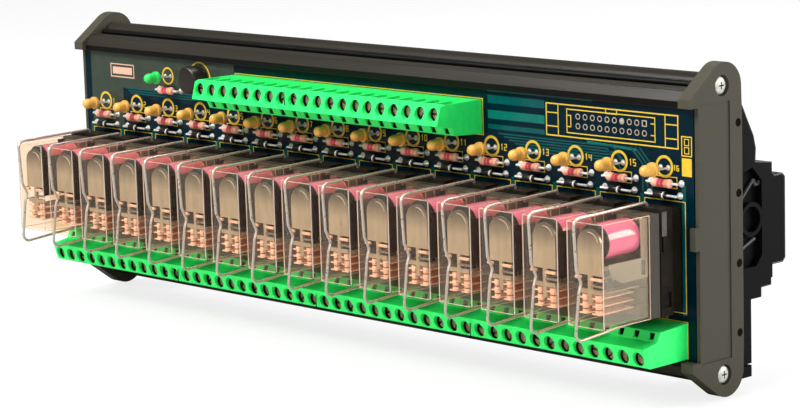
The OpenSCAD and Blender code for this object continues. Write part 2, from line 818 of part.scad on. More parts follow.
module bridge_rectifier() {
    pin_r = 0.29 * rectifier_d;
    color([0.15, 0.1, 0.08]) board_frame()
    translate([relay_x(RECTIFIER_PLACE) + rectifier_shift, 0, rectifier_z]) {
        bar_y(rectifier_d, -rectifier_off - rectifier_t, -rectifier_off);
        for (a = [45:90:315]) rotate([0, a, 0]) translate([pin_r, 0, 0])
            bar_y(lead_d, -rectifier_off - over / 2, -seat_gap);
    }
}

// Foot section: arm, and seat for the rail's lips
module foot_section() {
    back = carrier_d;
    seat = board_front;
    lip_half = rail_h / 2;
    polygon([
        [back, foot_top_v], [back + arm_reach / 6, foot_top_v],
        [foot_arm_tip - arm_reach / 2, 0.863 * foot_top_v],
        [foot_arm_tip - 0.14 * arm_reach, 0.726 * foot_top_v], [foot_arm_tip, 0.62 * foot_top_v],
        [foot_arm_tip - 0.05 * arm_reach, 0.51 * foot_top_v], [seat, seat_half], [seat, -seat_half],
        [seat - seat_step, -seat_half], [seat - seat_step, nose_in - lip_half],
        [seat - seat_t, nose_in - lip_half], [seat - seat_t, -lip_half - nose_out],
        [back + guide_d, -lip_half - nose_out], [back + guide_d, foot_low_v], [back, foot_low_v]
    ]);
}

// Tongue of the foot, which stands inside the rail's channel
module foot_tongue() {
    seat = board_front;
    polygon([
        [seat - over, tongue_half + tongue_root], [seat, tongue_half + tongue_root],
        [seat + tongue_bevel, tongue_half - tongue_root / 2], [seat + tongue_out - tongue_bevel, tongue_half],
        [seat + tongue_out, tongue_half - tongue_bevel], [seat + tongue_out, tongue_bevel - tongue_half],
        [seat + tongue_out - tongue_bevel, -tongue_half], [seat - over, -tongue_half]
    ]);
}

// Hook that reaches over the rail's upper lip
module foot_hook() {
    seat = board_front;
    edge = rail_h / 2 + lip_clear;
    tip = seat + rail_lip_t + lip_clear;
    polygon([
        [foot_arm_tip - hook_bevel, edge], [tip, edge], [tip, edge - hook_grip],
        [tip + hook_tip_t - hook_nose, edge - hook_grip], [tip + hook_tip_t, edge - hook_grip + hook_lead],
        [tip + hook_tip_t, edge + hook_t - hook_bevel], [tip + hook_tip_t - hook_bevel, edge + hook_t],
        [foot_arm_tip - hook_bevel - hook_lead, edge + hook_t + hook_lead]
    ]);
}

// Right rail foot: fixed hook, seat, tongue, latch guide and T lugs in the carrier's slots
module rail_foot() {
    back = carrier_d;
    bar_w = foot_w - 2 * guide_wall;
    top = latch_top_v + latch_gap;
    lug_end = foot_w / 2 - foot_out_x + profile_half;
    color([0.09, 0.09, 0.09]) board_frame() translate([foot_out_x - foot_w / 2, 0, 0]) difference() {
        union() {
            along_x(foot_w) foot_section();
            translate([(hook_w - foot_w) / 2, 0, 0]) along_x(hook_w) foot_hook();
            translate([hook_w / 2, 0, 0]) along_x(foot_w - hook_w) foot_tongue();
            both_halves() {
                block([-foot_w / 2, back - t_slot_neck - fit, t_slot_v - t_slot_mouth / 2 + fit],
                    [lug_end, back + over, t_slot_v + t_slot_mouth / 2 - fit]);
                block([-foot_w / 2, back - t_slot_deep + fit, t_slot_v - t_slot_w / 2 + fit],
                    [lug_end, back - t_slot_neck - fit, t_slot_v + t_slot_w / 2 - fit]);
            }
        }
        block([-bar_w / 2, back - t_slot_deep - over, foot_low_v - over],
            [bar_w / 2, board_front + tongue_out + over, -rail_h / 2 + fit]);
        block([-bar_w / 2, back + fit, foot_low_v], [bar_w / 2, back + guide_d, top]);
        translate([foot_w / 2, 0, 0]) difference() {
            translate([-pocket_deep / 2 + over / 2, 0, 0]) along_x(pocket_deep + over) polygon([
                [back + pocket_edge, 0.43 * foot_top_v], [foot_arm_tip - 0.2 * arm_reach, 0.47 * foot_top_v],
                [foot_arm_tip + 0.36 * arm_reach, 0.35 * foot_top_v],
                [foot_arm_tip + 0.36 * arm_reach, -0.27 * foot_top_v],
                [foot_arm_tip, -0.36 * foot_top_v], [back + pocket_edge, -0.36 * foot_top_v]
            ]);
            translate([0, boss_c[0], boss_c[1]]) difference() {
                bar_x(boss_d, 2 * pocket_deep);
                bar_x(boss_d - 2 * boss_wall, 3 * pocket_deep);
            }
        }
    }
}

module rail_foot_right() { rail_foot(); }
module rail_foot_left() { mirror([1, 0, 0]) rail_foot(); }

// Sliding latch under the rail's lower lip
module foot_latch() {
    back = carrier_d;
    half = foot_w / 2 - guide_wall - latch_gap;
    edge = -rail_h / 2 - lip_clear;
    tip = board_front + rail_lip_t + lip_clear;
    color([0.12, 0.12, 0.12]) board_frame() translate([foot_out_x - foot_w / 2, 0, 0]) difference() {
        union() {
            block([-half, back + latch_gap, foot_low_v - foot_over],
                [half, back + latch_gap + latch_bar_t, latch_top_v]);
            translate([catch_w / 2 - half, 0, 0]) along_x(catch_w) polygon([
                [back + latch_gap, edge - hook_t], [tip + hook_tip_t - hook_bevel, edge - hook_t],
                [tip + hook_tip_t, edge - hook_t + hook_bevel],
                [tip + hook_tip_t, edge + hook_grip - hook_lead],
                [tip + hook_tip_t - hook_nose, edge + hook_grip], [tip, edge + hook_grip], [tip, edge],
                [back + latch_gap, edge]
            ]);
            block([-foot_w / 2, back + latch_gap, latch_end_v],
                [foot_w / 2, back + guide_d, foot_low_v - foot_over]);
        }
        block([-foot_w / 4, back - over, latch_end_v + latch_slot_h],
            [foot_w / 4, back + guide_d + over, latch_end_v + 2 * latch_slot_h]);
    }
}

module foot_latch_right() { foot_latch(); }
module foot_latch_left() { mirror([1, 0, 0]) foot_latch(); }

carrier_profile();
end_cap_left();
end_cap_right();
end_cap_screws();
rail_foot_left();
rail_foot_right();
foot_latch_left();
foot_latch_right();
circuit_board();
output_terminal_1();
output_terminal_2();
output_terminal_3();
output_terminal_4();
input_terminal_1();
input_terminal_2();
terminal_screws();
terminal_cages();
relay_sockets();
relay_bases();
relay_covers();
relay_coils();
relay_yokes();
relay_contacts();
channel_leds();
power_led();
resistors();
diodes();
bridge_rectifier();
bail(0);  // bail_01
bail(1);  // bail_02
bail(2);  // bail_03
bail(3);  // bail_04
bail(4);  // bail_05
bail(5);  // bail_06
bail(6);  // bail_07
bail(7);  // bail_08
bail(8);  // bail_09
bail(9);  // bail_10
bail(10);  // bail_11
bail(11);  // bail_12
bail(12);  // bail_13
bail(13);  // bail_14
bail(14);  // bail_15
bail(15);  // bail_16
armature(0);  // armature_01
armature(1);  // armature_02
armature(2);  // armature_03
armature(3);  // armature_04
armature(4);  // armature_05
armature(5);  // armature_06
armature(6);  // armature_07
armature(7);  // armature_08
armature(8);  // armature_09
armature(9);  // armature_10
armature(10);  // armature_11
armature(11);  // armature_12
armature(12);  // armature_13
armature(13);  // armature_14
armature(14);  // armature_15
armature(15);  // armature_16
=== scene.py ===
"""Looks of the relay module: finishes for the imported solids, and the finer pieces that stand on them."""
import bpy
import bmesh
import math
from mathutils import Matrix, Vector


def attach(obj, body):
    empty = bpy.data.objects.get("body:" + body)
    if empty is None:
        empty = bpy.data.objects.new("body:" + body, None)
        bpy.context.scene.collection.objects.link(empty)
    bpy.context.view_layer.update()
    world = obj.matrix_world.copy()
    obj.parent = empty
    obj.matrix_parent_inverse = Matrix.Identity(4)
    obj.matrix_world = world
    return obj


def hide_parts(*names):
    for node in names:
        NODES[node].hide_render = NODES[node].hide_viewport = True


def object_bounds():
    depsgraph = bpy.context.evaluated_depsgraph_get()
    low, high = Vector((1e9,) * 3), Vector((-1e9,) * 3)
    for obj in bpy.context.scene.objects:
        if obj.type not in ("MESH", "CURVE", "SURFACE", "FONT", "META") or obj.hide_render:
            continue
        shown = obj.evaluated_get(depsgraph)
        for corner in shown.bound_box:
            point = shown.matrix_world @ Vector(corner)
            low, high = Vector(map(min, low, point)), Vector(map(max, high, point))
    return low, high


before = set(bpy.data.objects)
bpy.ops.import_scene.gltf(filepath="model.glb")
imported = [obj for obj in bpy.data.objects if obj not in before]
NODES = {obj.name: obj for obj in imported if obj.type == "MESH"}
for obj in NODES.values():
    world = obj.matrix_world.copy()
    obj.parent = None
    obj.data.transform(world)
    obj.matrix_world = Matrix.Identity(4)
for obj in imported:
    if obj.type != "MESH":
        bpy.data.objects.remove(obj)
CAD_BOX = [list(c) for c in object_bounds()]
MM = 0.001
FRONT = (0, -1, 0)
ALONG = (1, 0, 0)
SIDES = (-1, 1)

# Sizes of the solids, in millimetres, in the shared frame. Names in D are distances in front of the board's front
# face, names in X lie along the carrier, and names in Z are heights.
BOARD_Y = -30.6
CHANNELS = 16
PITCH = 15.24
RELAY_W = 12.6
RELAY_TOP, RELAY_LOW = 6.9, -19.7
RELAY_FRONT, BASE_OUT = 30.8, 12.8
SOCKET_SIDE = 6.4
COIL_Z, COIL_R = 1.3, 4.7
COIL_REAR, COIL_FACE = 14.0, 27.2
FLANGE_T = 0.8
BLADE_Z = (-12.4, -14.35, -16.3)
RIVET_D, RIVET_X = 27.9, 2.15
LED_Z, LED_PIN_X = 16.7, 1.27
RESISTOR_Z, DIODE_Z = 13.0, 9.85
RESISTOR_X = 0.5
PART_AXIS_D = 1.7
POWER_LED = (-83.35, 26.7)
POWER_RESISTOR = (-82.42, 22.5)
RECTIFIER = (-68.3, 26.9)
RECTIFIER_D = 8.2
CAP_X, FOOT_X, FOOT_BACK_D = 123.95, 124.4, -17.4
CARRIER_X = 121.2

# Screw terminals: POLES holds (x, z of the inner edge, way outwards) of each pole
POLE = 5.08
LOWER_POLES, UPPER_POLES, BLOCK_POLES = 48, 20, 12
LOWER_X, LOWER_Z = -0.56, -22.8
UPPER_X, UPPER_Z = -49.08, 20.0
SCREW_ROW, TEST_ROW = 6.75, 1.8


def lower_pole_x(k):
    """Middle of a pole of the lower terminals, counted from the left."""
    return LOWER_X + (k - (LOWER_POLES - 1) / 2) * POLE


def upper_pole_x(k):
    """Middle of a pole of the upper terminals, counted from the left."""
    return UPPER_X + k * POLE


POLES = ([(lower_pole_x(k), LOWER_Z, -1) for k in range(LOWER_POLES)]
         + [(upper_pole_x(k), UPPER_Z, 1) for k in range(UPPER_POLES)])

# Widths of printed lines, and heights of what lies on the board; lines that cross lie at heights of their own
THIN, FINE, PLAIN, BOLD = 0.22, 0.24, 0.28, 0.34
PRINT_D, PRINT_UNDER, PRINT_LOW, PRINT_LOWEST = 0.035, 0.03, 0.025, 0.02
FILL_D, BAND_D, TRACK_D, TRACK_OVER = 0.008, 0.012, 0.016, 0.02

# Printed outlines as (x0, x1, z0, z1); the first two count x from the middle of their relay, and the small labels
# carry the width of their line
SOCKET_PRINT = (-6.75, 6.75, -20.3, 8.35)
RESISTOR_PRINT = (-3.1, 4.1, 11.6, 14.4)
LOWER_PRINT = (-121.8, 121.4, -32.1, -22.55)
UPPER_PRINT = (-51.9, 50.3, 19.75, 29.6)
CONNECTOR_PRINT = (73.7, 118.9, 21.8, 30.2)
LABEL_PRINT = (-111.1, -99.9, 24.9, 28.8)
SMALL_LABELS = ((120.1, 123.3, 20.2, 25.1, PLAIN), (121.0, 122.4, 20.8, 22.4, THIN),
                (121.0, 122.4, 22.9, 24.5, THIN))

# Printed rings as (outer, inner radius)
LAMP_RING, POWER_LAMP_RING, RECTIFIER_RING = (2.9, 2.2), (2.7, 2.15), (5.1, 4.6)
LAMP_RING_Z = 16.93

# Empty place of the ribbon connector
PAD_PITCH, PAD_COLUMNS, PAD_X, PAD_ROWS_Z = 2.54, 10, 84.9, (27.4, 24.86)
SQUARE_PAD, FILLED_PAD = (9, 0), (6, 0)


def relay_x(i):
    """Middle of a relay, counted from the left."""
    return (i - (CHANNELS - 1) / 2) * PITCH


def at(x, d, z):
    """Point d in front of the board's front face, in metres."""
    return Vector((x, BOARD_Y - d, z)) * MM


def to_side(x, side, near, far):
    """Lower and upper X of a slab that lies from near to far on one side of x."""
    return sorted((x + side * near, x + side * far))


def mirrored(half):
    """Whole turned profile from its (radius, distance from the middle) points, the outermost first."""
    return [(r, -h) for r, h in half] + [(r, h) for r, h in reversed(half)]


# ---------------------------------------------------------------- materials

def rgb(r, g, b):
    """sRGB bytes as linear colour."""
    def lin(v):
        v /= 255
        return v / 12.92 if v <= 0.04045 else ((v + 0.055) / 1.055) ** 2.4
    return (lin(r), lin(g), lin(b), 1)


COAT_ROUGHNESS = 0.08
SCATTER = (0.002, 0.002, 0.002)     # metres
RELIEF = 0.0001                     # metres


def new_node(tree, kind, values=None):
    """Adds a shader node and sets the inputs that values names."""
    node = tree.nodes.new("ShaderNode" + kind)
    for name, value in (values or {}).items():
        node.inputs[name].default_value = value
    return node


def material(name, colour, rough=0.5, metal=0.0, vary=0.12, scale=400, stretch=(1, 1, 1), bump=0.1,
             bump_scale=None, rough_vary=0.1, specular=0.5, coat=0.0, subsurface=0.0):
    """Principled finish with noise in its colour, roughness and relief. Scales are per metre."""
    m = bpy.data.materials.new(name)
    m.use_nodes = True
    nt = m.node_tree
    link = nt.links.new
    b = nt.nodes["Principled BSDF"]
    for socket, value in (("Metallic", metal), ("Specular IOR Level", specular), ("Coat Weight", coat),
                          ("Coat Roughness", COAT_ROUGHNESS), ("Subsurface Weight", subsurface),
                          ("Subsurface Radius", SCATTER)):
        b.inputs[socket].default_value = value
    coords = new_node(nt, "TexCoord")
    mapping = new_node(nt, "Mapping", {"Scale": stretch})
    link(coords.outputs["Object"], mapping.inputs["Vector"])
    tone = new_node(nt, "TexNoise", {"Scale": scale, "Detail": 4})
    link(mapping.outputs[0], tone.inputs["Vector"])
    ramp = new_node(nt, "ValToRGB")
    for element, place, factor in zip(ramp.color_ramp.elements, (0.3, 0.7), (1 - vary, 1 + vary)):
        element.position = place
        element.color = tuple(min(1, c * factor) for c in colour[:3]) + (1,)
    link(tone.outputs["Fac"], ramp.inputs["Fac"])
    link(ramp.outputs["Color"], b.inputs["Base Color"])
    spread = new_node(nt, "MapRange", {"To Min": max(0.02, rough - rough_vary), "To Max": min(1, rough + rough_vary)})
    link(tone.outputs["Fac"], spread.inputs["Value"])
    link(spread.outputs[0], b.inputs["Roughness"])
    grain = new_node(nt, "TexNoise", {"Scale": bump_scale or 3 * scale, "Detail": 3})
    link(mapping.outputs[0], grain.inputs["Vector"])
    relief = new_node(nt, "Bump", {"Strength": bump, "Distance": RELIEF})
    link(grain.outputs["Fac"], relief.inputs["Height"])
    link(relief.outputs[0], b.inputs["Normal"])
    return m


M = {
    "carrier": material("carrier_plastic", rgb(39, 35, 28), 0.3, vary=0.08, scale=300, stretch=(0.04, 1, 1),
                        bump=0.05, bump_scale=2500, specular=0.42),
    # painted shade on the carrier, and the dark joint and window lines on the sockets
    "carrier_dark": material("painted_shade_and_joint_lines", rgb(7, 6, 5), 0.4, vary=0.1, scale=300, bump=0.1, specular=0.2),
    "cap": material("cap_plastic", rgb(64, 61, 49), 0.6, vary=0.05, scale=500, bump=0.25, bump_scale=4000,
                    specular=0.3),
    "foot": material("foot_plastic", rgb(9, 8, 8), 0.5, vary=0.15, scale=500, bump=0.25, bump_scale=4000,
                     specular=0.14),
    # painted highlight on the feet's edges, and the colour of the wire spring
    "foot_rim": material("foot_edge_highlight_and_spring", rgb(58, 55, 52), 0.5, vary=0.12, scale=600, bump=0.15),
    "fill": material("board_copper_fill", rgb(50, 60, 50), 0.22, vary=0.12, scale=150, bump=0.08, rough_vary=0.05,
                     specular=0.25),
    "track_light": material("track_light", rgb(4, 96, 84), 0.2, vary=0.1, scale=400, bump=0.08, rough_vary=0.05,
                            specular=0.25),
    "label": material("label_field", rgb(206, 164, 140), 0.5, vary=0.08, scale=900, bump=0.1),
    # painted shade for dark sheets inside the relays
    "shade": material("painted_deep_shade", rgb(28, 8, 5), 0.6, vary=0.15, scale=500, bump=0.05, specular=0.05),
    "clip": material("socket_clip", rgb(86, 80, 70), 0.4, vary=0.1, scale=700, bump=0.15),
    "pad": material("solder_pad", rgb(186, 176, 160), 0.35, metal=0.3, vary=0.15, scale=900, bump=0.1),
    "board": material("board_lacquer", rgb(0, 26, 36), 0.2, vary=0.18, scale=120, bump=0.1, bump_scale=900,
                      rough_vary=0.06, specular=0.12),
    "track": material("track_lacquer", rgb(0, 72, 72), 0.2, vary=0.1, scale=400, bump=0.08, rough_vary=0.05,
                      specular=0.25),
    "silk": material("print_yellow", rgb(206, 172, 38), 0.55, vary=0.1, scale=1500, bump=0.2),
    "terminal": material("terminal_plastic", rgb(32, 232, 104), 0.42, vary=0.05, scale=500, bump=0.15,
                         bump_scale=5000, subsurface=0.06),
    "screw": material("zinc_plate", rgb(226, 226, 214), 0.32, metal=0.5, vary=0.15, scale=1200, bump=0.15),
    "term_screw": material("terminal_screw_plate", rgb(176, 154, 128), 0.34, metal=0.35, vary=0.2, scale=1500,
                           bump=0.2),
    "cage": material("cage_plate", rgb(190, 182, 150), 0.35, metal=1, vary=0.15, scale=1200, bump=0.1),
    "socket": material("socket_plastic", rgb(27, 22, 15), 0.4, vary=0.2, scale=600, bump=0.2, bump_scale=4000,
                       specular=0.16),
    "base": material("relay_base_plastic", rgb(62, 56, 46), 0.5, vary=0.06, scale=600, bump=0.15,
                     bump_scale=4000),
    "cover": material("clear_cover", rgb(222, 210, 200), 0.06, vary=0.03, scale=200, bump=0.03, bump_scale=300,
                      rough_vary=0.03, coat=0.4),
    "cover_edge": material("cover_edge_highlight", rgb(242, 226, 216), 0.12, vary=0.04, scale=400, bump=0.05,
                           rough_vary=0.03),
    "sheen": material("cover_floor_reflection", rgb(226, 236, 240), 0.3, vary=0.05, scale=150, bump=0.05),
    "panel": material("relay_panel", rgb(146, 141, 134), 0.45, vary=0.08, scale=500, bump=0.1),
    "coil": material("coil_foil", rgb(234, 124, 180), 0.13, vary=0.06, scale=250, stretch=(1, 6, 1), bump=0.08,
                     bump_scale=1500, rough_vary=0.015, coat=1, specular=0.9),
    "bobbin": material("bobbin_plastic", rgb(20, 17, 16), 0.4, vary=0.15, scale=700, bump=0.1),
    "steel": material("relay_steel", rgb(166, 154, 134), 0.32, metal=0.8, vary=0.12, scale=500, bump=0.2,
                      stretch=(1, 1, 0.3)),
    "armature": material("armature_plate", rgb(228, 216, 197), 0.32, metal=0.8, vary=0.1, scale=500, bump=0.15,
                         stretch=(1, 1, 0.25)),
    "copper": material("contact_bronze", rgb(255, 200, 180), 0.3, metal=0.2, vary=0.12, scale=900, bump=0.1),
    "rivet": material("contact_rivet", rgb(255, 230, 218), 0.25, metal=0.15, vary=0.1, scale=1500, bump=0.05),
    "wire": material("bail_wire", rgb(220, 207, 192), 0.3, metal=0.7, vary=0.06, scale=900, bump=0.05),
    "lead": material("tinned_lead", rgb(232, 230, 226), 0.32, metal=0.5, vary=0.08, scale=1200, bump=0.1),
    "lamp_yellow": material("lamp_yellow", rgb(224, 170, 78), 0.32, vary=0.12, scale=700, bump=0.12, coat=0.3,
                            subsurface=0.3),
    "lamp_green": material("lamp_green", rgb(44, 204, 92), 0.25, vary=0.06, scale=500, bump=0.03,
                           subsurface=0.3, coat=0.3),
    "resistor": material("resistor_lacquer", rgb(252, 184, 156), 0.4, vary=0.08, scale=800, bump=0.1),
    "band_red": material("band_red", rgb(246, 64, 100), 0.4, vary=0.08, scale=900, bump=0.05),
    "band_gold": material("band_gold", rgb(230, 150, 110), 0.35, vary=0.08, scale=900, bump=0.05),
    "diode": material("diode_body", rgb(26, 24, 24), 0.3, vary=0.12, scale=700, bump=0.1),
    "band_white": material("band_white", rgb(236, 234, 226), 0.4, vary=0.05, scale=900, bump=0.05),
    "rectifier": material("rectifier_body", rgb(34, 27, 22), 0.3, vary=0.15, scale=500, bump=0.15),
    # painted shade of openings, slots and holes, and the dark joints between terminal blocks
    "hole": material("opening_shade_and_joints", rgb(5, 5, 5), 0.8, vary=0.1, scale=900, bump=0.05, specular=0.1),
}

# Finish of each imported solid, by the start of its name
NODE_FINISH = {
    "carrier_profile": "carrier", "end_cap_screws": "screw", "end_cap": "cap", "rail_foot": "foot",
    "foot_latch": "foot", "circuit_board": "board", "output_terminal": "terminal", "input_terminal": "terminal",
    "terminal_screws": "term_screw", "terminal_cages": "cage", "relay_sockets": "socket", "relay_bases": "base",
    "relay_covers": "cover", "relay_coils": "coil", "relay_yokes": "steel", "relay_contacts": "copper",
    "armature": "armature", "bail": "wire", "channel_leds": "lamp_yellow", "power_led": "lamp_green",
    "resistors": "resistor", "diodes": "diode", "bridge_rectifier": "rectifier",
}


def dress_nodes():
    """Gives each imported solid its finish."""
    for name, node in NODES.items():
        finish = next(key for start, key in NODE_FINISH.items() if name.startswith(start))
        node.data.materials.clear()
        node.data.materials.append(M[finish])


def see_through(m, share, tint):
    """Mixes a finish with clear plastic that tints what is seen through it; share is the finish's part."""
    nt = m.node_tree
    clear = new_node(nt, "BsdfTransparent", {"Color": (*tint, 1)})
    mix = new_node(nt, "MixShader", {"Fac": share})
    nt.links.new(clear.outputs[0], mix.inputs[1])
    nt.links.new(nt.nodes["Principled BSDF"].outputs[0], mix.inputs[2])
    nt.links.new(mix.outputs[0], nt.nodes["Material Output"].inputs["Surface"])


def darken_upwards(m, node, low, high, dark):
    """Paints shade into a finish, darker towards the top of a node, between two heights in millimetres."""
    colour_a, colour_b, colour_out = 6, 7, 2        # places of the colour sockets of a Mix node
    nt = m.node_tree
    link = nt.links.new
    b = nt.nodes["Principled BSDF"]
    ramp = b.inputs["Base Color"].links[0].from_socket
    coords = new_node(nt, "TexCoord")
    parts = new_node(nt, "SeparateXYZ")
    link(coords.outputs["Object"], parts.inputs[0])
    origin = node.matrix_world.translation.z
    span = new_node(nt, "MapRange", {"From Min": low * MM - origin, "From Max": high * MM - origin,
                                     "To Min": 1.0, "To Max": dark})
    link(parts.outputs["Z"], span.inputs["Value"])
    shade = new_node(nt, "Mix")
    shade.data_type = "RGBA"
    shade.blend_type = "MULTIPLY"
    shade.inputs["Factor"].default_value = 1.0
    link(ramp, shade.inputs[colour_a])
    link(span.outputs[0], shade.inputs[colour_b])
    link(shade.outputs[colour_out], b.inputs["Base Color"])


# ---------------------------------------------------------------- mesh helpers

# Strokes of the plain figures, on a grid one wide and two high
FIGURES = {
    "0": [[(0, 0), (1, 0), (1, 2), (0, 2), (0, 0)]], "1": [[(0.2, 1.6), (0.6, 2), (0.6, 0)]],
    "2": [[(0, 2), (1, 2), (1, 1), (0, 1), (0, 0), (1, 0)]],
    "3": [[(0, 2), (1, 2), (1, 0), (0, 0)], [(0.2, 1), (0.85, 1)]],
    "4": [[(0, 2), (0, 1), (0.85, 1)], [(1, 2), (1, 0)]],
    "5": [[(1, 2), (0, 2), (0, 1), (1, 1), (1, 0), (0, 0)]],
    "6": [[(1, 2), (0, 2), (0, 0), (1, 0), (1, 1), (0.15, 1)]], "7": [[(0, 2), (1, 2), (0.4, 0)]],
    "8": [[(0, 0), (1, 0), (1, 2), (0, 2), (0, 0)], [(0.15, 1), (0.85, 1)]],
    "9": [[(0, 0), (1, 0), (1, 2), (0, 2), (0, 1), (0.85, 1)]],
}
FIGURE_STEP, FIGURE_W = 0.85, 0.5       # shares of a figure's height
SHARP = math.radians(35)
SAME_PLACE, SHARPEST_MITRE = 1e-6, 0.3


class Piece:
    """Collects solids in one mesh, in millimetres in front of the board, then makes the object."""

    def __init__(self, name, finish, slot, body="module"):
        self.name, self.finish, self.slot, self.body = name, finish, slot, body
        self.bm = bmesh.new()

    def box(self, x0, x1, d0, d1, z0, z1, bevel=0.0):
        """Upright box between three pairs of faces."""
        made = bmesh.ops.create_cube(self.bm, size=1)["verts"]
        lo, hi = at(x0, d1, z0), at(x1, d0, z1)
        place = Matrix.Translation((lo + hi) / 2) @ Matrix.Diagonal((*(hi - lo), 1))
        bmesh.ops.transform(self.bm, matrix=place, verts=made)
        if bevel:
            edges = {e for v in made for e in v.link_edges}
            bmesh.ops.bevel(self.bm, geom=list(edges), offset=bevel * MM, segments=2, affect="EDGES")

    def rod(self, a, b, r, sides):
        """Round bar between two points in metres."""
        axis = b - a
        made = bmesh.ops.create_cone(self.bm, cap_ends=True, segments=sides, radius1=r * MM, radius2=r * MM,
                                     depth=axis.length)["verts"]
        turn = axis.to_track_quat("Z", "Y").to_matrix().to_4x4()
        bmesh.ops.transform(self.bm, matrix=Matrix.Translation((a + b) / 2) @ turn, verts=made)

    def path(self, points, r, sides):
        """Round bar through points in metres."""
        for a, b in zip(points, points[1:]):
            self.rod(a, b, r, sides)

    def walls(self, rows, closed=False):
        """Faces between rings of vertices, from each ring to the next, and from the last to the first if closed."""
        for a, b in zip(rows, rows[1:] + rows[:1] if closed else rows[1:]):
            for k in range(len(a)):
                j = (k + 1) % len(a)
                self.bm.faces.new((a[k], a[j], b[j], b[k]))

    def ends(self, first, last):
        """Closes the first and the last ring of vertices."""
        self.bm.faces.new(list(reversed(first)))
        self.bm.faces.new(last)

    def lathe(self, profile, centre, axis, sides):
        """Turned form: profile is (radius, distance along axis) in millimetres, from centre in metres."""
        turn = Vector(axis).to_track_quat("Z", "Y").to_matrix()
        angles = [2 * math.pi * k / sides for k in range(sides)]
        rings = [[self.bm.verts.new(centre + turn @ (Vector((r * math.cos(a), r * math.sin(a), h)) * MM))
                  for a in angles] for r, h in profile]
        self.walls(rings)
        self.ends(rings[0], rings[-1])

    def ring(self, x, z, r_out, r_in, d0=0.0, d1=0.04, sides=32):
        """Flat ring round a point of the board, from d0 to d1."""
        angles = [2 * math.pi * k / sides for k in range(sides)]
        self.walls([[self.bm.verts.new(at(x + r * math.cos(a), d, z + r * math.sin(a))) for a in angles]
                    for r, d in ((r_in, d0), (r_in, d1), (r_out, d1), (r_out, d0))], closed=True)

    def plate(self, outline, x0, x1):
        """Flat plate across X with its outline as (d, z) points."""
        rows = [[self.bm.verts.new(at(x, d, z)) for d, z in outline] for x in (x0, x1)]
        self.walls(rows)
        self.ends(*rows)

    def line(self, points, width, d1=PRINT_D):
        """Flat mitred strip on the board through (x, z) points, d1 high, closed where its ends meet."""
        pts = [Vector(p) for p in points]
        closed = (pts[0] - pts[-1]).length < SAME_PLACE
        if closed:
            pts.pop()
        n = len(pts)
        runs = n if closed else n - 1
        ways = [(pts[(k + 1) % n] - pts[k]).normalized() for k in range(runs)]
        rows = []
        for k in range(n):
            before = ways[k - 1] if closed or k else ways[0]
            after = ways[min(k, runs - 1)]
            a, b = Vector((-before.y, before.x)), Vector((-after.y, after.x))
            mitre = (a + b) / max(SHARPEST_MITRE, 1 + a.dot(b)) * width / 2
            rows.append([self.bm.verts.new(at(pts[k].x + s * mitre.x, d, pts[k].y + s * mitre.y))
                         for s, d in ((1, 0.0), (1, d1), (-1, d1), (-1, 0.0))])
        self.walls(rows, closed)
        if not closed:
            self.ends(rows[0], rows[-1])

    def rect(self, x0, x1, z0, z1, width):
        """Printed outline."""
        return self.line([(x0, z0), (x1, z0), (x1, z1), (x0, z1), (x0, z0)], width)

    def number(self, value, x, z, h, width):
        """Plain stroke figures of height h, x and z at the lower left."""
        for k, figure in enumerate(str(value)):
            for stroke in FIGURES[figure]:
                self.line([(x + (k * FIGURE_STEP + u * FIGURE_W) * h, z + v * h / 2) for u, v in stroke], width)

    def done(self, smooth=True, replaces=()):
        """Makes the object from the mesh, with its finish, on its body."""
        bmesh.ops.recalc_face_normals(self.bm, faces=self.bm.faces)
        mesh = bpy.data.meshes.new(self.name)
        self.bm.to_mesh(mesh)
        self.bm.free()
        mesh.materials.append(M[self.finish])
        obj = bpy.data.objects.new(self.name, mesh)
        bpy.context.scene.collection.objects.link(obj)
        if smooth:
            for p in mesh.polygons:
                p.use_smooth = True
            mesh.set_sharp_from_angle(angle=SHARP)
        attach(obj, self.body)
        if replaces:
            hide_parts(*replaces)


# ---------------------------------------------------------------- board print, tracks and pads

